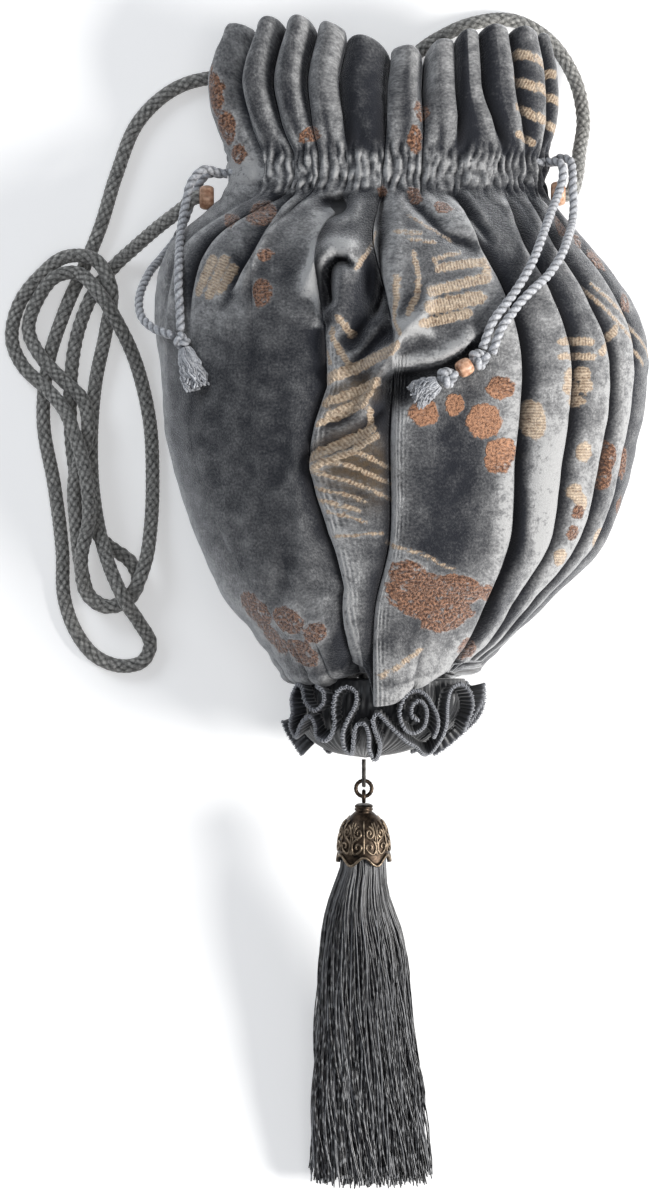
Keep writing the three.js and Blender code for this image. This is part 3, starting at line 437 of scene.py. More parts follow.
def braid_relief(angle, run, strands=6, lay=3.4):
    """Strands that wind both ways round the cord, each over one and under the next."""
    right = strands * angle / (2 * np.pi) + run / lay
    left = strands * angle / (2 * np.pi) - run / lay
    over = (np.floor(right) + np.floor(left)) % 2 == 0
    along = np.where(over, right, left) % 1 - 0.5
    across = np.where(over, left, right) % 1 - 0.5
    return 0.8 + 0.21 * np.sqrt(np.cos(np.pi * across)) * (0.5 + 0.5 * np.cos(np.pi * along))


def ply_relief(angle, run, plies=2, lay=3.1):
    """Plies that wind round each other, with a groove between them."""
    return 0.64 + 0.38 * np.sqrt(np.abs(np.cos(plies / 2 * (angle - 2 * np.pi * run / lay / plies))))


# %% Cord materials
def cord_material(name, groove, dark, light, size, roughness):
    """Fibres of a cord: painted shade in its grooves, which the value named strand gives, and mottled
    elsewhere.
    """
    finish = Finish(name)
    patches = finish.noise(Scale=1 / size, Detail=6.0, Roughness=0.65)
    mottled = finish.ramp(patches, (0.36, dark), (0.64, light))
    fibres = finish.noise(Scale=2600.0, Detail=3.0)
    return finish.dress(
        finish.mix(finish.value("strand"), groove, mottled), fibres, 0.5, 0.0003, Roughness=roughness,
        Specular_IOR_Level=0.25, Sheen_Weight=0.35, Sheen_Roughness=0.4,
    )


wool_braid = cord_material(
    "wool_braid", groove=(0.006, 0.006, 0.006), dark=(0.16, 0.158, 0.15), light=(0.56, 0.55, 0.52),
    size=1.1 * MM, roughness=0.8,
)
rayon_cord = cord_material(
    "rayon_cord", groove=(0.006, 0.006, 0.008), dark=(0.27, 0.28, 0.31), light=(0.6, 0.61, 0.63),
    size=0.9 * MM, roughness=0.5,
)
dark_thread = cord_material(
    "dark_thread", groove=(0.005, 0.005, 0.005), dark=(0.02, 0.018, 0.016), light=(0.07, 0.06, 0.05),
    size=0.9 * MM, roughness=0.5,
)

# %% Route of the carry cord
LEFT_BEAD = (-60.4, 76.2, 34.0)
RIGHT_BEAD = (59.6, 77.6, 32.5)
SIDE_BEAD_LENGTH = 5.0
LAYER_ZERO = 2.65
LAYER_STEP = 5.35
CARRY_ROUTE = [
    (-68.4, 73.0, 5.2), (-77.0, 67.0, 3.4), (-85.7, 60.2, 1.4), (-93.2, 53.7, 0), (-100.5, 44.0, 0),
    (-106.0, 29.0, 0), (-108.1, 8.5, 0), (-107.0, -12.0, 0), (-103.5, -29.0, 0), (-96.6, -40.8, 0),
    (-87.0, -48.3, 0), (-84.6, -55.1, 0), (-88.6, -61.7, 0), (-95.2, -63.4, 0), (-101.3, -59.8, 0),
    (-104.0, -51.0, 0.35), (-105.8, -36.0, 1), (-106.4, -20.0, 1), (-101.8, -3.5, 1), (-103.4, 7.5, 1),
    (-110.8, 15.0, 1), (-118.3, 23.1, 0.8), (-122.4, 32.3, 0.2), (-119.3, 42.5, 0.3), (-112.9, 50.3, 1),
    (-105.0, 51.4, 1), (-97.2, 43.5, 1.8), (-90.4, 32.3, 1.2), (-85.0, 19.7, 0.2), (-80.6, 0.5, 0),
    (-79.6, -19.0, 0), (-80.2, -36.0, 0.3), (-82.2, -49.0, 1), (-87.0, -59.2, 1), (-95.2, -63.6, 1.05),
    (-102.0, -59.2, 1.1), (-104.0, -47.6, 1.7), (-101.3, -33.0, 2), (-102.6, -17.0, 2), (-105.8, -5.5, 2),
    (-109.8, 4.1, 1.6), (-115.3, 10.9, 1), (-124.4, 19.7, 0.2), (-128.2, 28.9, 0), (-125.8, 40.8, 0),
    (-118.7, 50.3, 0.5), (-109.5, 57.1, 1), (-99.3, 56.1, 1), (-93.8, 46.2, 1), (-95.6, 32.0, 0.3),
    (-99.3, 14.0, 0), (-100.8, -6.0, 0), (-99.8, -26.0, 0.4), (-95.5, -45.9, 1.7), (-89.1, -61.2, 2),
    (-84.3, -68.7, 1), (-80.4, -76.3, 0.2), (-83.0, -82.3, 0), (-90.4, -84.0, 0), (-99.3, -80.6, 0),
    (-106.1, -72.1, 0), (-110.2, -60.0, 0), (-110.8, -44.0, 0), (-113.5, -22.0, 0), (-117.3, 0, 0),
    (-115.8, 20.0, 0), (-110.0, 38.5, 0), (-102.7, 55.1, 0), (-97.5, 68.0, 0), (-92.0, 86.0, 0),
    (-84.5, 104.0, 0), (-72.1, 115.3, 0), (-58.0, 119.3, 0), (-38.0, 117.0, 0), (-16.0, 116.0, 0),
    (4.0, 122.3, 0), (18.0, 132.2, 0), (31.0, 138.0, 0), (45.0, 139.0, 0), (57.5, 132.0, 0.1),
    (66.0, 119.0, 0.5), (68.9, 104.7, 1.6), (67.2, 92.1, 3.3), (66.0, 83.5, 4.9),
]


def bead_end(bead, side):
    """The straight end of the carry cord in the bore of a side bead, from outside in."""
    half = SIDE_BEAD_LENGTH / 2
    x, y, z = bead
    return [(x + side * (half + 1.5), y, z), (x - side * (half - 0.35), y, z)]


carry_path = smooth_route(
    [
        *bead_end(LEFT_BEAD, -1)[::-1],
        *[(x, y, LAYER_ZERO + n * LAYER_STEP) for x, y, n in CARRY_ROUTE],
        *bead_end(RIGHT_BEAD, 1),
    ],
    0.5,
)
carry_length = run_along(carry_path)[-1] * MM
carry_cord = cord_tube("carry_cord_braid", carry_path, CARRY_DIAMETER, 36, braid_relief, wool_braid)
put_on(carry_cord, "bag", "carry_cord")
print("carry cord", round(carry_length, 3), "m")

# %% Routes of the drawstrings
CASING_Y = 86.5
_, CASING_CENTRE, CASING_HALF_WIDTH, _, CASING_MIDDLE = (float(v) for v in section_at(place_of(CASING_Y)))
LEFT_Y = 84.65
RIGHT_Y = 88.35
STRAND_SPREAD = 3.6
DRAWSTRING_ROUTES = {
    "left_front": (-1, 1, [
        (-61.5, 85.5, 38), (-65.6, 81, 40.5), (-67.4, 74, 43), (-68.8, 65.5, 49.5), (-69.3, 57.8, 58.3),
        (-69.4, 51, 65.6), (-69.4, 44, 69.4), (-68.9, 37, 71.8), (-68.6, 29.4, 74),
    ]),
    "left_back": (-1, -1, [
        (-60.5, 84.5, 25), (-64.8, 78, 22.5), (-67.8, 70, 20.8), (-71, 63, 20), (-75.5, 56.5, 28),
        (-80, 50, 41), (-83, 41, 53), (-82, 34.5, 61), (-78, 30.5, 67), (-71.1, 27.6, 73.2),
    ]),
    "right_front": (1, 1, [
        (60.5, 87.5, 37), (61, 83, 39.6), (59.4, 77.2, 43.5), (56.2, 69.3, 55.8), (52.9, 60.6, 70.6),
        (49.8, 52.8, 79.8), (46.2, 46.1, 86.2), (42.6, 40.6, 90.2), (39.4, 36.4, 93.4), (35.8, 31.4, 96.8),
        (32.4, 22.6, 99.3),
    ]),
    "right_back": (1, -1, [
        (60, 90, 27.5), (63.6, 89, 31.5), (64.4, 85, 35.5), (64.4, 79.6, 39.5), (64.6, 73, 43.5),
        (64, 67.5, 48), (62, 61.1, 61.8), (59.3, 54.5, 72.4), (54.6, 47.5, 80), (49.5, 42.7, 87),
        (45.4, 38.4, 90.4), (42.3, 34.3, 93.2), (38.8, 29.4, 96.8), (35.6, 20.9, 99.3),
    ]),
}
drawstrings = {}
for key, (side, up, route) in DRAWSTRING_ROUTES.items():
    gate = CASING_CENTRE + side * (CASING_HALF_WIDTH - 0.3)
    gate_y = LEFT_Y if side < 0 else RIGHT_Y
    gate_z = CASING_MIDDLE + up * STRAND_SPREAD
    path = smooth_route([(gate, gate_y, gate_z), (gate + side * 2, gate_y, gate_z + up * 0.3), *route], 0.3)
    node = "drawstring_" + key
    strand = cord_tube(node + "_twist", path, DRAWSTRING_DIAMETER, 14, ply_relief, rayon_cord)
    put_on(strand, "bag", node)
    drawstrings[key] = (strand, path)
    print("drawstring", key, round(run_along(path)[-1]), "mm")


# %% [markdown]
# ## Velvet cloth
#
# The cloth is one grid of points: columns run up the bag inside each puff, closer together at the creases,
# and rows go round it. First come the big puffs of the solid. Then the cloth gets what a gathered bag has
# by chance: fine gathers on the drawstrings, pleats that fan out below them, and the few deep folds that
# the hands of whoever laid it down have left. A cloth simulation would settle into folds of its own, so
# these are drawn: each is a line or a spot on the front, and can be moved about like a tool mark.

# %% Columns of the cloth
FRONT_PITCH = 0.7
BACK_PITCH = 3.2
WAIST_GIRTH = 417.0
WAIST = 4.4


def puff_columns():
    """Puff number and share of the way across it, for every column of points round the bag."""
    rounds = np.array([at_level(c[0], np.array([WAIST]))[0] for c in CREASES])
    puffs, shares = [], []
    for i, start in enumerate(rounds):
        end = rounds[i + 1] if i + 1 < len(rounds) else rounds[0] + 1
        pitch = FRONT_PITCH if start < 0.49 else BACK_PITCH
        count = max(int((end - start) * WAIST_GIRTH / pitch), 8)
        s = np.arange(count) / count
        shares.extend(0.65 * s + 0.35 * (0.5 - 0.5 * np.cos(np.pi * s)))
        puffs.extend([i] * count)
    return np.array(puffs), np.array(shares)


PUFF, SHARE = puff_columns()
NEXT = (PUFF + 1) % len(CREASES)
FIRST_HALF = SHARE < 0.5
NEARNESS = np.where(FIRST_HALF, 2 * SHARE, 2 - 2 * SHARE)
print("cloth columns:", len(PUFF))


# %% Tool marks: lines and spots
def bell(distance, width):
    """1 at no distance, about a third at the width and 0 far beyond it."""
    return np.exp(-((distance / width) ** 2))


def fade_ends(share, part):
    """1 along a line, and down to 0 in the given part of it at both ends."""
    return ease(share / part) * ease((1 - share) / part)


def along_line(x, y, points):
    """Signed distance to a line of points, above zero on its left, and the share of the way along it."""
    points = np.asarray(points, float)
    steps = np.diff(points, axis=0)
    lengths = np.linalg.norm(steps, axis=1)
    starts = run_along(points)
    near = np.full(x.shape, 1e9)
    signed, share = np.zeros(x.shape), np.zeros(x.shape)
    for a, d, length, start in zip(points, steps, lengths, starts):
        t = np.clip(((x - a[0]) * d[0] + (y - a[1]) * d[1]) / length**2, 0, 1)
        away = np.hypot(x - a[0] - t * d[0], y - a[1] - t * d[1])
        side = np.sign(d[0] * (y - a[1]) - d[1] * (x - a[0]))
        closer = away < near
        near = np.where(closer, away, near)
        signed = np.where(closer, away * side, signed)
        share = np.where(closer, (start + t * length) / starts[-1], share)
    return signed, share


def ridge(x, y, height, width, points):
    """A rounded ridge, or, with a height below zero, a groove, that fades at both ends."""
    d, share = along_line(x, y, points)
    return height * bell(d, width) * fade_ends(share, 0.2)


# Part of a rolled edge that fades out at either end.
LEDGE_FADE = 0.16


def ledge(x, y, depth, lip, reach, points):
    """Cloth that rolls over a line: a lip on the left of it and a hollow on the right."""
    d, share = along_line(x, y, points)
    over = lip * bell(d - 2.0, 2.8) * ease((d + 0.6) / 1.2)
    under = depth * bell(np.minimum(d, 0), reach) * (1 - ease((d + 0.9) / 1.3))
    return (over - under) * fade_ends(share, LEDGE_FADE)


def spot(x, y, middle, radii, turn=0.0):
    """1 in the middle of an oval and 0 outside it, with a soft edge."""
    c, s = math.cos(math.radians(turn)), math.sin(math.radians(turn))
    dx, dy = x - middle[0], y - middle[1]
    r2 = ((c * dx + s * dy) / radii[0]) ** 2 + ((c * dy - s * dx) / radii[1]) ** 2
    return np.exp(-(r2**1.5))


# %% Folds on the front
# Height, width and line of every ridge. A groove has a height below zero.
RIDGES = [
    (2.0, 2.6, [(-25, 73), (-18, 67), (-11, 69), (-7, 76)]),
    (-7.5, 2.0, [(-0.5, 82), (0.9, 69), (0.6, 60), (0.2, 53), (-1.5, 40), (-5.8, 31.6), (-9, 28)]),
    (3.4, 3.0, [(-29, 38), (-26.5, 48), (-22, 56), (-17, 59), (-12.6, 58), (-6, 54)]),
    (4.4, 3.8, [(-14.4, 54), (-13.6, 46), (-14.8, 38), (-17, 29)]),
    (1.6, 1.4, [(-16.6, 40), (-20.6, 32), (-21, 22), (-19, 14)]),
    (5.2, 2.2, [(15, 46), (13.8, 37), (11, 32), (8.8, 29.3), (4, 22.5), (-0.1, 16.9), (-4, 9), (-12, -2)]),
    (2.6, 2.0, [(18, 27), (8.5, 29.6), (0.3, 31.3), (-7, 33)]),
    (1.8, 2.2, [(6, 24), (-6, 17.5), (-20, 11)]),
    (-3.4, 2.2, [(3, 31), (-4, 24), (-9.5, 17), (-14, 12)]),
    (-2.4, 1.8, [(-3, 13), (-9, 3), (-17, -5)]),
    (-2.6, 2.0, [(1, 6), (-6, -3), (-14, -10), (-22, -15)]),
    (2.0, 2.4, [(1, -6), (-8, -12), (-20, -19)]),
    (1.6, 2.0, [(-22, -16), (-10, -22), (2, -27)]),
    (2.2, 1.9, [(1.3, 78), (9, 70), (16, 63.5), (24, 58)]),
    (-4.6, 2.2, [(6, 77), (12, 70), (19.4, 61.2), (28, 58), (32, 53)]),
    (2.4, 2.8, [(9, 79), (18, 71), (27, 64), (35, 56)]),
    (-2.8, 1.6, [(16, 82), (24, 75), (31, 67), (37, 57)]),
    (1.6, 1.8, [(20, 84), (28, 75), (35, 64)]),
    (2.0, 2.6, [(46, -26), (45, -50), (38, -60), (33, -76)]),
    (1.2, 4.0, [(2, -46), (20, -54), (36, -60)]),
    (-1.4, 2.6, [(-52, 58), (-50, 46), (-56, 34)]),
    (-1.2, 4.0, [(-30, -44), (-36, -58), (-40, -70)]),
]
# Depth of the hollow, height of the lip on its left, reach of the hollow and line of every rolled edge.
LEDGES = [
    (9.0, 2.6, 3.4, [
        (-19.4, 35), (-20.8, 41), (-20.8, 48), (-19.3, 52), (-16.5, 54), (-13, 53.6), (-9, 50),
    ]),
    (8.0, 3.0, 5.0, [(-4, 9.5), (-1.6, 13), (3, 15.6), (10, 16.4), (19.4, 18.4), (26, 22), (33, 29)]),
    (4.6, 2.4, 4.0, [(-26.5, 80), (-34.8, 71.7), (-41, 62), (-45.9, 52.4), (-53, 41)]),
]
# Middle, half sizes, turn in degrees and depth of every hollow.
HOLLOWS = [
    ((-17, 71.6), (4.9, 3.7), 20, 12), ((-4.4, 41), (3.4, 9), 8, 4.6), ((-7.4, 44), (2.6, 9), -8, 2.6),
    ((-9.9, 27.2), (3, 5.6), -25, 4.2), ((4.4, 8.8), (6, 5.6), 10, 7),
]


def front_folds(x, y):
    """Height of the folds that lie on the front of the bag, by place in millimetres."""
    folds = sum(ridge(x, y, *numbers) for numbers in RIDGES)
    folds += sum(ledge(x, y, depth, lip, reach, line) for depth, lip, reach, line in LEDGES)
    return folds - sum(depth * spot(x, y, middle, radii, turn) for middle, radii, turn, depth in HOLLOWS)


def pile_noise(places, size):
    """Smooth noise at places in millimetres, about as coarse as the given size."""
    return np.array([noise.noise(p) for p in (places / size).reshape(-1, 3)]).reshape(places.shape[:-1])


# %% Gathers on the drawstrings
NECK_HALF_WIDTH, NECK_HALF_THICKNESS = 55.2, 20.5
FRONT_GATHER, BACK_GATHER = 2.7, 4.2
neck_turn = np.linspace(0, 2 * np.pi, 1441)
neck_pace = np.hypot(NECK_HALF_WIDTH * np.sin(neck_turn), NECK_HALF_THICKNESS * np.cos(neck_turn))
neck_pitch = np.where(neck_turn < np.pi, FRONT_GATHER, BACK_GATHER)
gather_count = np.cumsum(neck_pace / neck_pitch) * neck_turn[1]
gather_count *= round(gather_count[-1]) / gather_count[-1]
print("gathers round the neck:", round(gather_count[-1]))

# %% Creases from row to row
HOOK_CREASE, PARTING_CREASE, HIDDEN_CREASE = 3, 4, 5
# Creases that open out below the shoulder, so that the panel there is one smooth curve.
SHORT_CREASES = [0, 1, 2]
# Creases between the full puffs on the right, which open wider below the shoulder.
RIGHT_CREASES = [6, 7, 8, 9]
PINCH_Y = 25.0
HOOK_FOOT_Y = 34.0


def creases_at(place, y):
    """Share of the way round, depth and lap of every crease, for rows of cloth at these places."""
    rounds, deeps = (np.stack([at_level(c[k], place) for c in CREASES], 1) for k in (0, 1))
    deeps[:, PARTING_CREASE] *= 1 - 0.95 * bell(y[:, 0] - PINCH_Y, 9)
    low = step_at(y, HOOK_FOOT_Y, HOOK_FOOT_Y - 10) * step_at(y, -78, -64)
    deeps[:, HOOK_CREASE:PARTING_CREASE + 1] *= 1 - 0.4 * low
    gathered = 0.25 * step_at(y, -66, -82)
    deeps[:, SHORT_CREASES] *= np.maximum(step_at(y, 26, 50), gathered)
    deeps[:, HIDDEN_CREASE] *= np.maximum(step_at(y, 68, 76), gathered)[:, 0]
    deeps[:, RIGHT_CREASES] *= 1 + 0.35 * step_at(y, 60, 40) * step_at(y, -80, -64)
    tucks = np.tile(TUCKS, (len(place), 1))
    tucks[:, HOOK_CREASE] -= 4.4 * step_at(y[:, 0], HOOK_FOOT_Y, HOOK_FOOT_Y - 8)
    tucks[:, SHORT_CREASES] -= 1.3 * step_at(y, 84, 76)
    return rounds, deeps, tucks


def print_across(turn, width, half):
    """Distance along the cloth from the middle of the front, which folds over at the sides."""
    step = np.diff(turn, axis=1, append=turn[:, :1] + 2 * np.pi)
    pace = np.hypot(width * np.sin(turn), half * np.cos(turn)) * step
    arc = np.cumsum(pace, axis=1) - pace
    across = arc - np.array([np.interp(np.pi / 2, t, a) for t, a in zip(turn, arc)])[:, None]
    girth = pace.sum(axis=1)[:, None]
    across = np.where(across > girth / 4, girth / 2 - across, across)
    return np.where(across < -girth / 4, -girth / 2 - across, across)


# %% Shape of the cloth
# Section numbers where the frill begins and is full.
FRILL_FROM, FRILL_FULL = 10.2, 11.6
# How far the edge of the middle strip swings to the side, by place along the bag.
STRIP_SWING = [(-70, 0), (-57, 2.9), (-48, -0.5), (-39, -3.9), (-26, -6), (-14, -6.7), (-2, -4), (10, 0)]
STRIP_X = -20.0
# Columns beside the two long laps, where the pile lies in fine ribs.
EDGE_RIBS = np.isin(PUFF, (HOOK_CREASE, PARTING_CREASE)) & FIRST_HALF
TABLE_GAP = 0.25
# Takes the print of the inside away from the figures.
INSIDE_SHIFT = 1000


def cloth(place, out=0.0, lower=0.0, hang=0.0, rim=0.0, inner=0.0):
    """Rows of cloth: points, print map and what the finish needs. Each argument has a number for a row."""
    place = np.asarray(place, float)
    spread = np.ones((len(place), 1))
    out, lower, hang, rim, inner = (np.reshape(v, (-1, 1)) * spread for v in (out, lower, hang, rim, inner))
    y, centre, width, half, middle = (v[:, None] for v in section_at(place))
    rounds, deeps, tucks = creases_at(place, y)
    casing = casing_share(place)[:, None]
    frill = step_at(place[:, None], FRILL_FROM, FRILL_FULL)

    # Where each column lies at rest between two creases, and how far it rises from the nearer one.
    begin, finish = rounds[:, PUFF], rounds[:, NEXT] + (NEXT == 0)
    turn = 2 * np.pi * (begin + (finish - begin) * SHARE)
    rest = np.stack([centre - width * np.cos(turn), y + 0 * turn, middle + half * np.sin(turn)], -1)
    front = ease(3 * np.sin(turn))
    lap = np.where(FIRST_HALF, -tucks[:, PUFF], tucks[:, NEXT])
    full = np.sqrt(1 - (1 - NEARNESS) ** 2)
    tight_roll = (1 - (1 - NEARNESS) ** 3) ** (1 / 3)
    under = 1 - 0.6 * (1 - NEARNESS) ** 2.4
    rolled = full + (tight_roll - full) * 0.45 * (1 - frill)
    over = ease((lap + 1.6) / 1.6)
    rise = under + (rolled - under) * over
    deep = np.where(FIRST_HALF, deeps[:, PUFF], deeps[:, NEXT]) * (1 + 1.3 * frill)

    # How far the cloth stands out or in: creases, slack, gathers at neck and foot, folds on the front.
    coarse, slack = pile_noise(rest, 17), pile_noise(rest, 6)
    relief = -deep * (1 - rise) + 0.7 * coarse + 0.35 * slack
    gather = np.interp(turn, neck_turn, gather_count) + 0.9 * coarse + 0.7 * slack
    tight = np.abs(np.sin(np.pi * gather)) ** 0.6
    ruched = step_at(y, 74, 79) * step_at(y, 97, 89)
    crinkle = pile_noise(rest * (1, 0.45, 1), 2.2)
    relief += ruched * ((1.1 + 1.4 * slack) * (tight - 1) + 1.6 * crinkle)
    fan = step_at(y, 50, 76) * (1 - ruched) * (1 - frill)
    relief += fan * (np.abs(np.sin(0.3 * np.pi * gather + 0.4)) ** 0.7 - 0.8)
    foot = step_at(y, -52, -78)
    relief += foot * (1.6 - 1.3 * front) * (np.abs(np.sin(0.33 * np.pi * gather)) ** 0.7 - 0.8)
    relief += front * (1 - ruched) * (1 - frill) * front_folds(rest[..., 0], rest[..., 1])

    # Laps slide sideways over their neighbours, and the edges of the cloth hang and rise by puff.
    slide = np.where(lap > 0, np.where(FIRST_HALF, -1, 1) * lap, 0) * (1 - casing) * (1 - inner)
    slide = slide * 1.5 * np.sin(np.pi * NEARNESS) * (1 - NEARNESS)
    swing = np.interp(y, *zip(*STRIP_SWING)) * front * bell(rest[..., 0] - STRIP_X, 9)
    later = np.where(DROPS[NEXT] > DROPS[PUFF], SHARE**3, SHARE)
    drop = DROPS[PUFF] + (DROPS[NEXT] - DROPS[PUFF]) * later + 3.4 * (full - 0.75)
    top = RIMS[PUFF] + (RIMS[NEXT] - RIMS[PUFF]) * SHARE + 7.5 * (full - 0.85)
    loose = -2.2 - deep * (1 - 0.55 * rise)
    total = relief + (loose - relief) * inner + out + 0.6 * hang * np.maximum(drop, 0)
    normal = np.stack([-np.cos(turn) * half, np.sin(turn) * width], -1)
    normal /= np.linalg.norm(normal, axis=-1)[..., None]
    points = np.stack([
        rest[..., 0] + normal[..., 0] * total + normal[..., 1] * slide + swing,
        rest[..., 1] - lower - hang * drop + rim * top,
        np.maximum(rest[..., 2] + normal[..., 1] * total - normal[..., 0] * slide, TABLE_GAP),
    ], -1)
    chart = np.stack([
        centre + print_across(turn, width, half) + INSIDE_SHIFT * (inner > 0.5),
        rest[..., 1] - lower - hang * drop,
    ], -1)

    # For the finish: front place, painted rim highlights, painted shade and ribs at laps, distance from a
    # crease.
    from_crease = 0.5 * NEARNESS * (finish - begin) * np.pi * (width + half)
    lapping = np.clip(deep / 3, 0, 1) * (1 - ruched) * front * (1 - inner)
    # The pale line along each lapping edge is a painted highlight, standing in for the sheen of the pile.
    rim_line = bell(from_crease - 2.2, 1.3 - 0.3 * frill) * (1 - 0.1 * frill)
    rib_band = EDGE_RIBS * bell(from_crease - 3.0, 2.4) * step_at(y, 30, 18)
    # The band on the under side of each lap carries a painted shadow.
    seen = (
        rest[..., 0], rest[..., 1], front * (1 - inner), lapping * over * rim_line, lapping * (1 - over),
        lapping * over * rib_band, from_crease,
    )
    return points, chart, seen


# %% Rows from the base to the inside of the frill
body_y = np.concatenate([
    np.arange(-85.7, -45, 1.35), np.arange(-45, 72, 0.98), np.arange(72, 106, 0.9),
    np.arange(106, 132.6, 1.1), [132.6],
])
body_place = place_of(body_y)
lip = np.linspace(0, 1, 10)[:0:-1]
LIP_REACH, LIP_FALL = 5.5, 3.6
ROLL = 2.1
over = np.linspace(0, np.pi, 8)[1:]
inside_place = place_of(np.linspace(130, 98, 16))
row_groups = [
    dict(
        place=0 * lip, out=-LIP_REACH * (1 - np.cos(np.pi * lip)),
        lower=LIP_FALL * np.sin(np.pi * lip) - 0.4 * lip,
        hang=(0.55 + 0.45 * np.sin(np.pi * np.minimum(lip, 0.5))) * (1 - ease(2 * lip - 1)),
    ),
    dict(place=body_place, hang=0.55 * (1 - ease(body_place / 1.1)), rim=ease((body_place - 11) / 2)),
    dict(place=13 + 0 * over, out=-ROLL * (1 - np.cos(over)), lower=-ROLL * np.sin(over), rim=1 + 0 * over),
    dict(place=inside_place, rim=ease((inside_place - 11) / 2), inner=1 + 0 * inside_place),
]
rows = {
    key: np.concatenate([group.get(key, 0 * group["place"]) for group in row_groups])
    for key in ("place", "out", "lower", "hang", "rim", "inner")
}
velvet_points, velvet_chart, velvet_seen = cloth(**rows)
print("cloth rows:", len(velvet_points), "points:", velvet_points[..., 0].size)

# %% [markdown]
# ## Velvet finish and its woven pattern
#
# Velvet is dark where you look into the pile and pale where you see it from the side, so the shader has a
# strong sheen. The nap is crushed in patches and worn pale along the edges of the folds, and beside the two
# long laps it lies in fine ribs. The colour also holds painted light: a painted highlight on rims and
# ridges, pale patches where light falls, and painted shade in hollows, beside the laps and in dark patches.
# The pattern is woven in gold and copper thread: roundels, meander bars, chevrons and blossoms. Most of the
# copper has worn thin, and the ground of the middle strip is brown in places. An image could hold all this,
# but would blur close up. So each figure is a stroke or a spot on the cloth. Every point of the mesh keeps
# its distance from the nearest one, in millimetres, and the shader draws the figure where that distance
# falls below zero, so its edge is sharper than the grid.

# %% Figures of the pattern
# Both ends as they show from above, and width, of every stroke.
GOLD_STROKES = [
    (16.4, 53, 25.5, 55.4, 1.4), (16.4, 53, 18.4, 49.6, 1.4), (18, 49.8, 32.4, 52.4, 3.0),
    (32.6, 52, 33.4, 46.6, 2.4), (33, 46.4, 15.4, 41.8, 3.6), (31.4, 39.8, 14.8, 36.4, 4.8),
    (27.6, 34.4, 13, 30.8, 3.2), (9.6, 55, 11.2, 46.8, 1.7), (11.2, 46.8, 10.8, 40.4, 1.7),
    (10.8, 40.4, 8.8, 34.4, 1.7), (5.2, 46.8, 5.4, 39, 1.8), (5.4, 39, 4.2, 32, 1.8),
    (4.2, 32, 6.6, 27.4, 1.6), (8.2, 68, 23.4, 59.2, 1.0), (4, 62.6, 12.2, 62, 1.4),
    (8, 60, 17, 58.8, 1.0), (-1.2, 62.6, -9.8, 49.6, 1.4), (4.8, 23.2, -17.4, 12.2, 3.8),
    (-15.4, 32.8, -10.9, 27.3, 2.2), (-17.2, 29.4, -11.2, 17, 1.6), (-18.2, 21.6, -16.4, 17.8, 1.8),
    (-2.7, 11.4, -16.6, 4.6, 3.2), (-4.6, 7.6, -15, 0.6, 2.2), (-6.4, 4.6, -16.8, -2.6, 2.3),
    (-5, 2.4, -4.6, -4.2, 2.0), (-4.6, -4.2, -18.4, -14.2, 3.2), (-2.7, -6.4, -17.4, -18, 2.2),
    (-17, -18.2, 2.2, -27.8, 1.2), (-17.6, -23, -6, -28.4, 1.2), (-17, -27.4, -8, -31.4, 1.4),
    (-14, -31.8, -6, -35.2, 1.0), (-8, -12, 1.6, -17.4, 1.5), (-12, -15.6, 1.8, -22.6, 1.4),
    (-62, 42.5, -57.6, 53.4, 3.4), (-58.6, 41.4, -54, 53.6, 3.4), (-55.4, 42.6, -52, 50.6, 2.8),
    (67.3, 44.2, 88, 18.7, 1.3), (70, 45.4, 89.4, 21.4, 1.3), (72.4, 22.1, 78.2, 30.3, 2.7),
    (58.5, 25.5, 69, 25.5, 2.7), (58.5, 20.4, 70, 20.4, 2.4), (44.6, 127, 51, 123.6, 3.0),
    (52, 124, 59, 119.6, 3.0), (45, 117, 51.6, 113.4, 3.2), (53, 114, 60, 109.4, 3.2),
    (45.6, 107, 52, 103.4, 3.0), (53, 103.6, 59.6, 99.4, 3.0), (46, 97.6, 51, 94.6, 2.6),
    (-0.3, -87, 11.9, -77.9, 1.6), (-14, -40, -1, -39, 0.9), (0.4, -41.8, 12.8, -46.2, 1.2),
    (12.8, -46.2, 23, -51.4, 1.2),
]
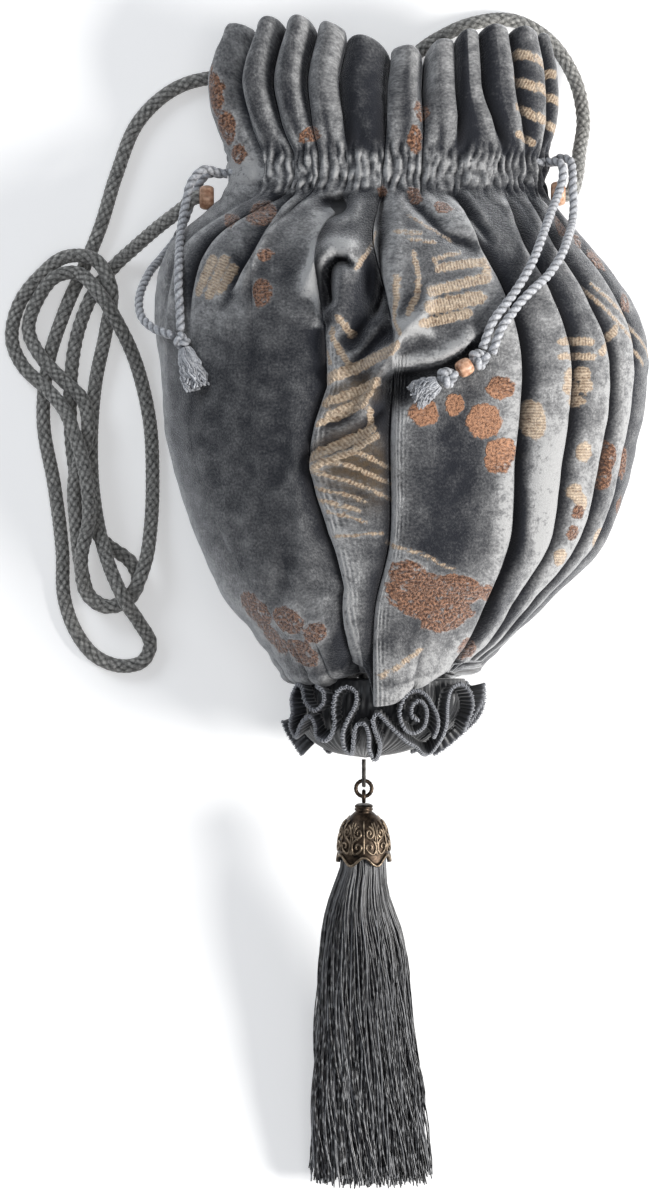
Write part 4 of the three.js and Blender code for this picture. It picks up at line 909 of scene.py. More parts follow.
# Middle, half sizes and turn in degrees of every spot.
GOLD_SPOTS = [
    (61.5, 14, 2.6, 2.6, 0), (67, 14.5, 2.7, 2.6, 0), (64.3, 9.4, 2.6, 2.8, 0), (60.5, 10, 2.2, 2.4, 0),
    (68, 10.5, 2.4, 2.4, 0), (50, -0.8, 4.2, 6.6, 10), (64.3, 5.4, 4.6, 2.0, 0),
    (59.2, -46.9, 2.7, 3.0, 0), (72.4, -40.5, 3.6, 3.6, 0), (66, -28, 2.6, 3.4, 20),
    (67.3, -11.6, 3.0, 3.4, 0), (64.3, -24.8, 2.7, 2.7, 0),
]
COPPER_SPOTS = [
    (38.1, 9.5, 4.3, 4.1, 0), (33, -1.4, 6.0, 6.0, 0), (23.1, 4, 3.0, 3.8, 0), (13.5, 1, 4.4, 4.2, 0),
    (38.4, -11.4, 5.0, 4.4, 0), (37, -15, 4.4, 3.8, -20), (19.4, 71.4, 2.8, 2.4, 0),
    (-0.7, 77.2, 2.0, 2.0, 0), (10.5, 75.8, 2.2, 3.4, 30), (-39.4, 54.8, 2.4, 2.2, 0),
    (-40.6, 41.6, 3.6, 4.6, 0), (-42, 69.6, 4.2, 5.0, -35), (-51.8, 67.2, 3.2, 2.8, 0),
    (59.8, 65.6, 2.4, 4.1, 20), (66, 60, 3.4, 2.6, -42), (72.4, 54, 4.4, 2.4, -42),
    (82.3, 39.4, 2.7, 3.4, 0), (75.8, -12.6, 3.6, 4.6, 10), (74.2, -19.6, 4.0, 4.6, 10),
    (82.3, -15, 2.2, 5.0, 0), (79.9, -28.9, 2.0, 2.7, 0), (65, -31.6, 2.6, 2.4, 0),
    (63.2, -38.8, 2.6, 2.6, 0), (8.4, -52, 5.6, 3.8, -14), (14, -60.4, 12.6, 7.6, -14),
    (24, -57.6, 9, 5, -10), (20.6, -66.4, 9.4, 5.4, 16), (33, -58.6, 3.6, 3.0, 10),
    (28, -77.4, 4.6, 3.8, 10), (-43.5, -64.3, 7.6, 4.8, -30), (-32.6, -68, 6.4, 4.2, -20),
    (-37, -74.4, 7.4, 3.2, -34), (-28, -79, 7.4, 3.8, -24), (-23.4, -72.6, 4.6, 3.6, 24),
    (-25.2, 96.9, 4.0, 2.6, 20), (12.9, 105.4, 2.6, 3.8, 10), (10.5, 95.2, 2.4, 4.6, 0),
    (-57.4, 112, 3.0, 8.0, 8), (-53.6, 100, 3.4, 6.0, 14), (-49, 91, 3.0, 4.0, 20),
]


def print_x(x, y):
    """Place across the cloth, measured along it, of a place on the front as it shows from above."""
    _, centre, width, half, _ = section_at(place_of(y))
    end = np.arccos(np.clip((centre - x) / width, -0.995, 0.995))
    t = np.pi / 2 + (end - np.pi / 2) * (np.arange(40) + 0.5) / 40
    return centre + (end - np.pi / 2) * np.hypot(width * np.sin(t), half * np.cos(t)).mean()


def away_from_strokes(chart, strokes):
    """Distance from the edge of the nearest stroke, below zero on it, and the length along that stroke."""
    nearest, along = np.full(chart.shape[:-1], 9.0), chart[..., 1]
    for x0, y0, x1, y1, wide in strokes:
        a, b = np.array((print_x(x0, y0), y0)), np.array((print_x(x1, y1), y1))
        reach = np.linalg.norm(b - a)
        length = (chart - a) @ (b - a) / reach
        foot = a + np.clip(length / reach, 0, 1)[..., None] * (b - a)
        away = np.linalg.norm(chart - foot, axis=-1) - wide / 2
        along = np.where(away < nearest, length, along)
        nearest = np.minimum(nearest, away)
    return nearest, along


def away_from_spots(chart, spots):
    """Distance from the edge of the nearest spot, below zero on the spot."""
    nearest = np.full(chart.shape[:-1], 9.0)
    for x, y, half_x, half_y, turn in spots:
        c, s = math.cos(math.radians(turn)), math.sin(math.radians(turn))
        dx, dy = chart[..., 0] - print_x(x, y), chart[..., 1] - y
        share = np.hypot((c * dx + s * dy) / half_x, (c * dy - s * dx) / half_y)
        nearest = np.minimum(nearest, (share - 1) * min(half_x, half_y))
    return nearest


stroke_away, gold_along = away_from_strokes(velvet_chart, GOLD_STROKES)
spot_away = away_from_spots(velvet_chart, GOLD_SPOTS)
gold_along = np.where(spot_away < stroke_away, velvet_chart[..., 1], gold_along)
gold_away = np.minimum(stroke_away, spot_away)
copper_away = away_from_spots(velvet_chart, COPPER_SPOTS)
print("figures:", len(GOLD_STROKES) + len(GOLD_SPOTS), "gold,", len(COPPER_SPOTS), "copper")

# %% Edges with wear and painted sheen, crushed patches, and painted light and shade
# Middle, half sizes and strength of the pale patches, and, below zero, of the dark ones. The pale ones are
# crushed pile and painted light; the dark ones are painted shade.
PATCHES = [
    (-25, 47.4, 5, 9, 1.0), (-17, 58, 9, 3, 0.6), (8.8, 30, 4, 6, 1.0), (2, 20, 6, 6, 0.4),
    (-14, -48, 9, 18, 0.5), (-22, -12, 4, 18, 0.3), (-36, -70, 24, 14, 0.5), (-60, -36, 14, 26, 0.25),
    (-60, 31, 14, 12, 0.45), (-14, 64, 16, 8, 0.3), (3, -28, 6, 34, 0.5), (20, -82, 24, 10, 0.4),
    (41, -30, 4, 30, 0.3), (30, -34, 8, 7, 0.2), (54, -30, 6, 34, 0.85), (66, -30, 7, 26, 0.4),
    (80, 0, 6, 26, 0.5), (12, 17, 12, 2.6, 0.4), (0, 85, 62, 7, 0.85), (-30, 113, 38, 22, -0.6),
    (-46, -4, 22, 32, -0.2), (-34, 22, 14, 16, -0.2), (22, -20, 16, 24, -0.55), (24, -62, 16, 10, -0.7),
    (16, -44, 16, 9, -0.4), (44, 56, 12, 20, -0.35), (66, 44, 9, 24, -0.3), (50, 108, 8, 22, -0.35),
    (26, 113, 30, 22, -0.75), (-9, 38, 6, 10, -1.1), (-1.4, 2, 3.6, 9, -1.3),
    (-15.5, -79, 3.6, 7, -1.5), (4, 9.6, 6, 5, -1.2), (20, 26, 10, 5, 0.5), (-10, -8, 6, 12, -0.55),
    (82, -30, 8, 20, -0.35), (45, -32, 2.4, 14, -1.6),
]
# Middle, half sizes and turn in degrees of the parts of the middle strip that are woven brown.
GROUNDS = [((-9, 8), (10, 5), 26), ((-7, -17), (10, 13), 16)]
# Middle and half sizes of the group of copper figures that is hardly worn.
FRESH = ((27, -3), (20, 15))


def smoothed(values, rows, columns):
    """Values averaged over a window of rows and columns; the columns go right round."""
    for axis, reach in ((0, rows), (1, columns)):
        mode = "edge" if axis == 0 else "wrap"
        pad = [(reach, reach) if a == axis else (0, 0) for a in range(values.ndim)]
        sums = np.cumsum(np.pad(values, pad, mode=mode), axis=axis)
        sums = np.concatenate([0 * np.take(sums, [0], axis), sums], axis=axis)
        count, width = values.shape[axis], 2 * reach + 1
        ahead, behind = np.take(sums, range(width, width + count), axis), np.take(sums, range(count), axis)
        values = (ahead - behind) / width
    return values


def standing_out(points, rows, columns):
    """How far each point stands out of the cloth round it, in millimetres; below zero in a hollow."""
    around = np.roll(points, -1, axis=1) - np.roll(points, 1, axis=1)
    normal = np.cross(around, np.gradient(points, axis=0))
    normal /= np.maximum(np.linalg.norm(normal, axis=-1), 1e-9)[..., None]
    soft = smoothed(smoothed(points, rows, columns), rows, columns)
    return ((points - soft) * normal).sum(axis=-1)


near_edge, wide_edge = standing_out(velvet_points, 2, 3), standing_out(velvet_points, 7, 9)
seen_x, seen_y, seen_front, rim_highlight, lap_shadow, edge_ribs, from_crease = velvet_seen
# Rolled ledges also get a painted highlight along their lip.
for *_, line in LEDGES:
    away, share = along_line(seen_x, seen_y, line)
    rim_highlight = np.maximum(rim_highlight, seen_front * bell(away - 1.2, 1.0) * fade_ends(share, LEDGE_FADE))
# Pale where the cloth stands out and on the painted rims: worn pile and painted sheen. Darker in hollows
# and in a band of painted shadow beside each lap.
edge_wear_sheen_and_shade = 0.6 * np.clip(near_edge / 0.5, -1, 1) + 0.5 * np.clip(wide_edge / 1.6, -0.5, 1)
edge_wear_sheen_and_shade = np.clip(edge_wear_sheen_and_shade + 1.4 * rim_highlight - 1.2 * lap_shadow * bell(from_crease, 5.5), -1.6, 1.25)
# Painted shade: near black in deep hollows and right beside the laps.
hollow_shade = np.clip((-wide_edge - 1.3) / 1.8, 0, 1)
hollow_shade = np.maximum(hollow_shade, lap_shadow * bell(from_crease, 2.2))
patch_level = seen_front * sum(
    strength * spot(seen_x, seen_y, (x, y), (half_x, half_y))
    for x, y, half_x, half_y, strength in PATCHES
)
# Dark patches of painted shade are weakened on the painted rim highlights.
kept_dark = 1 - 0.6 * np.clip(rim_highlight, 0, 1)
patch_level = np.where(patch_level < 0, patch_level * kept_dark, patch_level)
worn_level = 1 - np.clip(1.6 * seen_front * spot(seen_x, seen_y, *FRESH), 0, 1)
ground_level = seen_front * sum(spot(seen_x, seen_y, *ground) for ground in GROUNDS)
print("patches:", len(PATCHES), "and deepest hollow:", round(-wide_edge.min(), 1), "mm")


# %% Velvet material
# Width of the ribs of the gold thread and of the combed pile.
RIB_PITCH = 1.0
RIB_TURN = 2 * math.pi / RIB_PITCH
PILE_DARK, PILE_PALE = (0.017, 0.0185, 0.024), (0.37, 0.37, 0.37)
BROWN_GROUND = (0.085, 0.06, 0.037)
GOLD_DARK, GOLD_PALE = (0.2, 0.12, 0.066), (0.7, 0.56, 0.41)
COPPER_DARK, COPPER_PALE = (0.06, 0.024, 0.013), (0.44, 0.225, 0.13)
# Colour of the painted shade in hollows.
HOLLOW_SHADE = (0.01, 0.01, 0.012)


def velvet_material():
    """Crushed pile with woven figures. Mesh values place wear, painted sheen and shade, and the figures."""
    finish = Finish("crushed_velvet")
    run, fit, mix, value = finish.run, finish.fit, finish.mix, finish.value
    chart = finish.add("ShaderNodeUVMap", uv_map="cloth").outputs["UV"]

    def cloud(size, detail):
        return finish.noise(chart, Scale=1 / size, Detail=detail, Roughness=0.62)

    def drawn(away, ragged, reach):
        torn = run("MULTIPLY_ADD", ragged, reach, run("ADD", away, -reach / 2))
        return fit(torn, -2.2, 0.5)

    # How pale the pile is: edges with wear and painted sheen and shade, patches of crushed pile and painted
    # light and shade, crushed places of three sizes, and combed ribs.
    edge, gold_away, copper_away = value("edge"), value("gold"), value("copper")
    grain, ragged = cloud(0.85, 5.0), cloud(1.7, 5.0)
    crushed = run("MULTIPLY_ADD", cloud(2.6, 5.0), 2.4, -0.2)
    level = run("MULTIPLY", run("MULTIPLY_ADD", edge, 0.75, value("patch")), crushed)
    for spots, strength in ((cloud(22.0, 3.0), 0.8), (cloud(6.0, 5.0), 1.4), (grain, 1.9)):
        level = run("ADD", level, run("MULTIPLY_ADD", spots, strength, -strength / 2))
    row = run("MULTIPLY_ADD", value("crease"), RIB_TURN, run("MULTIPLY", ragged, 4.0))
    combing = run("MULTIPLY", value("ribs"), fit(cloud(5.0, 3.0), 4.0, -1.4))
    combed = run("MULTIPLY", run("SINE", row), combing)
    level = run("MULTIPLY_ADD", combed, 0.45, level)
    halo = fit(run("MINIMUM", gold_away, copper_away), -0.25, 0.3)
    pale = run("POWER", fit(run("ADD", level, halo), 0.5, 0.41), 2.2)
    ground = run("MULTIPLY", value("ground"), fit(cloud(2.2, 5.0), 2.6, -0.5))
    nap = mix(ground, mix(pale, PILE_DARK, PILE_PALE), BROWN_GROUND)

    # Gold lies in ribs. Copper lies in flecks, and wear has taken parts of it.
    gold, copper = drawn(gold_away, ragged, 3.0), drawn(copper_away, cloud(3.4, 5.0), 4.0)
    worn = value("worn")
    beat = run("MULTIPLY_ADD", ragged, 7.0, run("MULTIPLY", value("along"), RIB_TURN))
    rib = fit(run("SINE", beat), 0.22, run("MULTIPLY_ADD", ragged, 2.4, -0.65))
    gold_thread = mix(rib, GOLD_DARK, GOLD_PALE)
    flecks = fit(cloud(0.9, 4.0), 4.2, run("MULTIPLY_ADD", worn, -0.55, -1.25))
    copper_thread = mix(flecks, COPPER_DARK, COPPER_PALE)
    gold_seen = run("MULTIPLY", gold, fit(grain, 1.2, 0.25))
    kept = fit(cloud(2.6, 2.0), 8.0, run("MULTIPLY_ADD", worn, -1.1, -1.3))
    copper_seen = run("MULTIPLY", run("MULTIPLY", copper, fit(grain, 1.2, 0.4)), kept)
    colour = mix(copper_seen, mix(gold_seen, nap, gold_thread), copper_thread)

    # The threads shine more than the pile and stand out of it.
    thread = run("MAXIMUM", gold_seen, copper_seen)
    finish.feed(finish.surface.inputs["Roughness"], run("MULTIPLY_ADD", thread, -0.4, 0.92))
    raised = run("MULTIPLY", copper_seen, run("MULTIPLY_ADD", flecks, 0.8, 0.5))
    weave = run("MULTIPLY_ADD", gold_seen, run("MULTIPLY_ADD", rib, 0.8, 0.5), raised)
    pile = run("MULTIPLY_ADD", combed, 0.4, cloud(0.6, 3.0))
    # Hollows and the creases beside laps are painted near black as shade.
    return finish.dress(
        mix(value("hollow"), colour, HOLLOW_SHADE), run("ADD", pile, weave), 0.7, 0.0007,
        Specular_IOR_Level=0.2, Sheen_Weight=0.7, Sheen_Roughness=0.35, Sheen_Tint=(0.95, 0.97, 1.0, 1),
    )


# %% The velvet piece
velvet_values = {
    "edge": edge_wear_sheen_and_shade, "hollow": hollow_shade, "patch": patch_level, "gold": gold_away, "along": gold_along,
    "copper": copper_away, "ribs": edge_ribs, "crease": from_crease, "ground": ground_level,
    "worn": worn_level,
}
velvet = new_piece(
    "velvet_bag", velvet_points.reshape(-1, 3) * MM, grid_faces(len(velvet_points), len(PUFF)),
    velvet_material(), velvet_chart.reshape(-1, 2), {key: v.ravel() for key, v in velvet_values.items()},
)
put_on(velvet, "bag", "velvet_shell")

# %% [markdown]
# ## Geometry Nodes in short
#
# Threads, stitches and the scrolls on the tassel's cap repeat one small shape many times, so node trees
# make them. Each tree has named inputs for its sizes, and ends in Realize Instances and Set Material. A
# helper sets the inputs, evaluates the tree once and keeps the result as a plain mesh.


# %% Helpers for node trees
def new_tree(name, inputs):
    """A geometry tree with an input for each named size, and a short way to add and join nodes."""
    tree = bpy.data.node_groups.new(name, "GeometryNodeTree")
    tree.interface.new_socket("Geometry", in_out="INPUT", socket_type="NodeSocketGeometry")
    for key, value in inputs.items():
        kind = "NodeSocketInt" if isinstance(value, int) else "NodeSocketFloat"
        tree.interface.new_socket(key, in_out="INPUT", socket_type=kind).default_value = value
    tree.interface.new_socket("Geometry", in_out="OUTPUT", socket_type="NodeSocketGeometry")
    source = tree.nodes.new("NodeGroupInput")
    result = tree.nodes.new("NodeGroupOutput")

    def add(kind, links=(), **settings):
        node = settle(tree.nodes.new(kind), **settings)
        for socket, value in dict(links).items():
            if isinstance(value, (int, float, str, tuple)):
                node.inputs[socket].default_value = value
            else:
                tree.links.new(value, node.inputs[socket])
        return node

    return tree, source.outputs, result.inputs[0], add


def finish_tree(tree, add, geometry, result, material):
    """Ends a tree in Realize Instances and Set Material."""
    real = add("GeometryNodeRealizeInstances", {0: geometry})
    dressed = add("GeometryNodeSetMaterial", {0: real.outputs[0]}, Material=material)
    tree.links.new(dressed.outputs[0], result)


def grow(name, tree, mesh=None, **sizes):
    """Evaluates a tree on a mesh and keeps the result as a plain mesh piece."""
    mesh = mesh or bpy.data.meshes.new(name + "_seed")
    carrier = bpy.data.objects.new(name + "_carrier", mesh)
    scene.collection.objects.link(carrier)
    modifier = carrier.modifiers.new("grow", "NODES")
    modifier.node_group = tree
    sockets = {s.name: s.identifier for s in tree.interface.items_tree if s.in_out == "INPUT"}
    for key, value in sizes.items():
        modifier[sockets[key.replace("_", " ")]] = value
    ready = carrier.evaluated_get(bpy.context.evaluated_depsgraph_get())
    grown = bpy.data.meshes.new_from_object(ready)
    grown.name = name
    grown.shade_smooth()
    bpy.data.objects.remove(carrier)
    piece = bpy.data.objects.new(name, grown)
    scene.collection.objects.link(piece)
    return piece


# %% [markdown]
# ## Beads, knots and frayed ends
#
# The carry cord ends in two copper-lacquered wooden beads. The drawstrings end in overhand knots with a
# frayed tip, and the right pair carries a small bead between its knots. A trefoil curve is the line that
# an overhand knot follows, so a cord tube along it looks tied.


# %% Turned beads
def turned(name, profile, sides, axis_frame, material):
    """A closed turned piece: profile of (radius, along) in millimetres on the frame's axis."""
    middle, axis, side, up = (np.asarray(v, float) for v in axis_frame)
    angle = full_turn(sides)
    rings = [
        middle + along * axis + radius * (np.cos(angle)[:, None] * side + np.sin(angle)[:, None] * up)
        for radius, along in profile
    ]
    faces = grid_faces(len(profile), sides, ring=True)
    return new_piece(name, np.array(rings).reshape(-1, 3) * MM, faces, material)


def barrel_profile(diameter, length, bore):
    """Outside and bore of a barrel bead with softened ends."""
    outside = [
        (diameter / 2 * (0.6 + 0.4 * math.cos(a) ** 0.7), length / 2 * math.sin(a))
        for a in np.linspace(-1.35, 1.35, 13)
    ]
    return [(bore / 2, -length * 0.46), *outside, (bore / 2, length * 0.46)]


def frame_to(direction):
    """Unit axis along a direction, with a side and an up vector."""
    axis = np.asarray(direction, float) / np.linalg.norm(direction)
    side = np.cross((0.0, 0.0, 1.0), axis)
    side = side / np.linalg.norm(side) if np.linalg.norm(side) > 1e-6 else np.array((0.0, 1.0, 0.0))
    return axis, side, np.cross(axis, side)


def bead_material():
    """Copper lacquer, rubbed darker in places."""
    finish = Finish("copper_lacquer")
    grain = finish.noise(Scale=700.0, Detail=5.0)
    colour = finish.ramp(grain, (0.35, (0.34, 0.16, 0.09)), (0.7, (0.72, 0.45, 0.3)))
    return finish.dress(colour, grain, 0.25, 0.0002, Roughness=0.38)


copper_lacquer = bead_material()
SIDE_BEAD_DIAMETER, SIDE_BEAD_BORE = 8.4, 5.6
for node, bead in (("side_bead_left", LEFT_BEAD), ("side_bead_right", RIGHT_BEAD)):
    profile = barrel_profile(SIDE_BEAD_DIAMETER, SIDE_BEAD_LENGTH, SIDE_BEAD_BORE)
    piece = turned(node + "_turned", profile, 32, (bead, *frame_to((1, 0, 0))), copper_lacquer)
    put_on(piece, "bag", node)


# %% Knots on the drawstrings
LEFT_KNOT_SIZE = (6.4, 6.2, 2.4)
RIGHT_KNOT_SIZE = (7.6, 8.0, 3.0)


def heading(turn, tip):
    """Unit vector turned about Z from X and tipped towards the table, in degrees."""
    a, b = math.radians(turn), math.radians(tip)
    return np.array((math.cos(a) * math.cos(b), math.sin(a) * math.cos(b), -math.sin(b)))


def tied_knot(name, middle, direction, size):
    """An overhand knot: a cord tube along a trefoil, squeezed to the knot's length and width."""
    length, width, cord = size
    axis, side, up = frame_to(direction)
    t = np.linspace(0, 2 * np.pi, 121)
    round_way = (width - cord) / 2 / 3
    long_way = (length - cord) / 2
    path = (
        np.outer(np.sin(t) + 2 * np.sin(2 * t), side) * round_way
        + np.outer(np.cos(t) - 2 * np.cos(2 * t), axis) * long_way / 3
        + np.outer(-np.sin(3 * t), up) * round_way * 1.6
    )
    return cord_tube(name, np.asarray(middle) + path, cord, 14, ply_relief, rayon_cord)


LEFT_KNOT = np.array((-68.2, 26.0, 74.2))
LEFT_TAIL = heading(289, -17)
RIGHT_KNOT = np.array((31.4, 19.0, 100.4))
RIGHT_TAIL = heading(210, -13)
RIGHT_FRAY = heading(210, 10)
DROP_BEAD_LENGTH, DROP_BEAD_DIAMETER, DROP_BEAD_BORE = 5.0, 6.0, 2.6
BEAD_STEP = RIGHT_KNOT_SIZE[0] / 2 + 0.35 + DROP_BEAD_LENGTH / 2
DROP_BEAD = RIGHT_KNOT + RIGHT_TAIL * (BEAD_STEP - 0.7)
LOWER_KNOT = DROP_BEAD + RIGHT_TAIL * BEAD_STEP

left_knot = tied_knot("left_knot_tied", LEFT_KNOT, LEFT_TAIL, LEFT_KNOT_SIZE)
right_upper_knot = tied_knot("right_upper_knot_tied", RIGHT_KNOT, RIGHT_TAIL, RIGHT_KNOT_SIZE)
right_lower_knot = tied_knot("right_lower_knot_tied", LOWER_KNOT, RIGHT_TAIL, RIGHT_KNOT_SIZE)
drop_bead = turned(
    "drop_bead_turned", barrel_profile(DROP_BEAD_DIAMETER, DROP_BEAD_LENGTH, DROP_BEAD_BORE), 28,
    (DROP_BEAD, *frame_to(RIGHT_TAIL)), copper_lacquer,
)
for piece, node, slot in (
    (left_knot, "left_knot", "cord"), (right_upper_knot, "right_upper_knot", "cord"),
    (right_lower_knot, "right_lower_knot", "cord"), (drop_bead, "drop_bead", "copper_bead"),
):
    put_on(piece, "bag", node)


# %% [markdown]
# ## Threads that hang together
#
# A frayed cord end and a tassel are both bundles of threads that start close together and spread out.
# One tree makes both: it lays out all the points at once, sends each to its own thread by its number, and
# turns the threads into thin tubes. The widths along the bundle are float curves, read off its outline.


# %% A tree for bundles of threads
def share_curve(add, share, values):
    """A float curve node through evenly or freely spaced (share, value) points."""
    node = add("ShaderNodeFloatCurve", {"Value": share})
    node.mapping.use_clip = False
    curve = node.mapping.curves[0]
    for k, (x, y) in enumerate(values):
        if k < 2:
            curve.points[k].location = (x, y)
        else:
            curve.points.new(x, y)
    node.mapping.update()
    return node.outputs[0]


def bundle_tree(name, points, wide, flat, shift, material, sides, darkest=0.0):
    """Threads down -Y from the origin; wide, flat and shift are curves of the share of the length."""
    sizes = {
        "Threads": 100, "Length": 0.1, "Width": 0.01, "Thread radius": 0.0003, "Waviness": 0.001,
        "Ends": 0.02, "Seed": 1,
    }
    tree, given, result, add = new_tree(name, sizes)

    def run(operation, *values):
        return add("ShaderNodeMath", dict(enumerate(values)), operation=operation).outputs[0]

    def chance(step, low=0.0, high=1.0):
        """A random number for each thread; each step has draws of its own."""
        seed = run("ADD", given["Seed"], step)
        node = add("FunctionNodeRandomValue", {"ID": thread, "Seed": seed}, data_type="FLOAT")
        node.inputs[2].default_value, node.inputs[3].default_value = low, high
        return node.outputs[1]

    count = run("MULTIPLY", given["Threads"], float(points))
    row = add("GeometryNodePoints", {"Count": count})
    index = add("GeometryNodeInputIndex").outputs[0]
    thread = run("FLOOR", run("DIVIDE", run("ADD", index, 0.5), float(points)))
    number = run("SUBTRACT", index, run("MULTIPLY", thread, float(points)))
    share = run("DIVIDE", number, float(points - 1))
    start_turn = run("MULTIPLY", chance(1.0), 2 * math.pi)
    turn = run("MULTIPLY_ADD", share, chance(6.0, -0.8, 0.8), start_turn)
    away = run("POWER", chance(2.0), 0.3)
    reach = run("MULTIPLY", run("MULTIPLY", away, given["Width"]), share_curve(add, share, wide))
    ends = run("MULTIPLY", chance(3.0), given["Ends"])
    down = run("MULTIPLY", run("MULTIPLY", share, given["Length"]), run("SUBTRACT", 1.0, ends))
    sway = run("MULTIPLY", share, given["Waviness"])
    beat = run("MULTIPLY_ADD", share, chance(4.0, 6.0, 19.0), run("MULTIPLY", start_turn, 5.0))
    aside = run("MULTIPLY", share_curve(add, share, shift), given["Width"])
    x = run("MULTIPLY_ADD", reach, run("COSINE", turn), aside)
    x = run("MULTIPLY_ADD", sway, run("SINE", beat), x)
    z = run("MULTIPLY", run("MULTIPLY", reach, run("SINE", turn)), share_curve(add, share, flat))
    z = run("MULTIPLY_ADD", run("MULTIPLY", sway, 0.5), run("COSINE", beat), z)
    spot = add("ShaderNodeCombineXYZ", {"X": x, "Y": run("MULTIPLY", down, -1.0), "Z": z})
    laid = add("GeometryNodeSetPosition", {"Geometry": row.outputs[0], "Position": spot.outputs[0]})
    shade = chance(5.0, darkest)
    kept = add("GeometryNodeStoreNamedAttribute", {0: laid.outputs[0], "Name": "strand", "Value": shade})
    curves = add("GeometryNodePointsToCurves", {0: kept.outputs[0], 1: thread, 2: share})
    ring = add("GeometryNodeCurvePrimitiveCircle", {"Resolution": sides, "Radius": given["Thread radius"]})
    tubes = add("GeometryNodeCurveToMesh", {0: curves.outputs[0], 1: ring.outputs[0], "Fill Caps": True})
    finish_tree(tree, add, tubes.outputs[0], result, material)
    return tree


def place_mesh(piece, middle, x_axis, y_axis, z_axis):
    """Moves a mesh's own points from the origin into a frame in millimetres."""
    points = np.empty(len(piece.data.vertices) * 3, np.float32)
    piece.data.vertices.foreach_get("co", points)
    points = points.reshape(-1, 3) @ np.array((x_axis, y_axis, z_axis)) + np.asarray(middle) * MM
    piece.data.vertices.foreach_set("co", points.astype(np.float32).ravel())
    piece.data.update()


# %% Frayed ends of the drawstrings
fray_tree = bundle_tree(
    "frayed_end", points=9, wide=[(0, 0.5), (0.3, 0.8), (1, 1)], flat=[(0, 0.95), (1, 0.6)],
    shift=[(0, 0), (1, 0)], material=rayon_cord, sides=5, darkest=0.6,
)
frays = {}
for key, start, tail, length, width, seed in (
    ("left", LEFT_KNOT + LEFT_TAIL * LEFT_KNOT_SIZE[0] / 2, LEFT_TAIL, 15.0, 7.6, 3),
    ("right", LOWER_KNOT + RIGHT_TAIL * RIGHT_KNOT_SIZE[0] / 2, RIGHT_FRAY, 10.0, 8.0, 8),
):
    fray = grow(
        key + "_fray_threads", fray_tree, Threads=150, Length=length * MM, Width=width / 2 * MM,
        Thread_radius=0.36 * MM, Waviness=1.1 * MM, Ends=0.3, Seed=seed,
    )
    axis, side, up = frame_to(tail)
    place_mesh(fray, start, side, -axis, up)
    put_on(fray, "bag", key + "_fray")
    frays[key] = fray


# %% What hangs on each drawstring
hung_on = {
    "left_front": [left_knot, frays["left"]], "left_back": [],
    "right_front": [right_upper_knot, drop_bead, right_lower_knot, frays["right"]], "right_back": [],
}
for key, (strand, path) in drawstrings.items():
    run_along(path)[-1] * MM
    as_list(hung_on[key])


# %% [markdown]
# ## Rosette under the base
#
# The gathers of the base are hidden by a stuffed satin pad, and a ribbon stands on edge over it in loops
# and a curl. The pad is a turned shape, pulled in by stitches from its edge to its middle. The ribbon
# follows a given line: each point is a place of its upper edge as it shows from above, which is moved
# on to the pad below it. Its edge is overlocked, so a node tree sets a ring of thread at every stitch.

# %% Pad and places on it
ROSETTE_TOP_Y = -88.0
ROSETTE_X = -0.3
ROSETTE_Z = 37.0
ROSETTE_DEPTH = 27.0
ROSETTE_SHEAR = -6.0
LINK_X = -6.8
LINK_Z = 36.0
PAD_PROFILE = np.array([(28, 0), (29.2, 0.26), (27.4, 0.52), (21.5, 0.76), (12, 0.93), (0, 1)])
PAD_PROFILE[:, 1] *= ROSETTE_DEPTH


def pad_at(h, out=0.0):
    """Radius and depth on the pad's profile at a share of the way down it, moved out along the normal."""
    last = len(PAD_PROFILE) - 1
    place = np.asarray(h, float) * last
    radius, depth = catmull(PAD_PROFILE[:, 0], place), catmull(PAD_PROFILE[:, 1], place)
    ahead = [
        catmull(column, np.minimum(place + 0.01, last)) - catmull(column, np.maximum(place - 0.01, 0))
        for column in PAD_PROFILE.T
    ]
    size = np.hypot(*ahead)
    return radius + ahead[1] / size * out, depth - ahead[0] / size * out


def rosette_point(radius, depth, angle):
    """Point of the rosette in millimetres."""
    f = depth / ROSETTE_DEPTH
    return np.stack([
        ROSETTE_X + ROSETTE_SHEAR * f * f + radius * np.cos(angle),
        ROSETTE_TOP_Y - depth + 0 * angle,
        ROSETTE_Z + (LINK_Z - ROSETTE_Z) * f * f + radius * np.sin(angle),
    ], -1)


def satin_material(name, dark, light, scale):
    """Satin with fine crinkles: painted shade in their dips, and lighter where the value named edge is
    high.
    """
    finish = Finish(name)
    crinkle = finish.noise(Scale=scale, Detail=5.0, Roughness=0.6)
    shade = finish.fit(crinkle, 0.45, finish.value("edge"))
    return finish.dress(
        finish.ramp(shade, (0.2, dark), (1.0, light)), crinkle, 0.35, 0.0004, Roughness=0.42,
        Specular_IOR_Level=0.5, Sheen_Weight=0.3,
    )


pad_satin = satin_material("pad_satin", (0.006, 0.007, 0.009), (0.07, 0.074, 0.086), 500.0)
ribbon_satin = satin_material("ribbon_satin", (0.004, 0.005, 0.006), (0.1, 0.104, 0.12), 700.0)

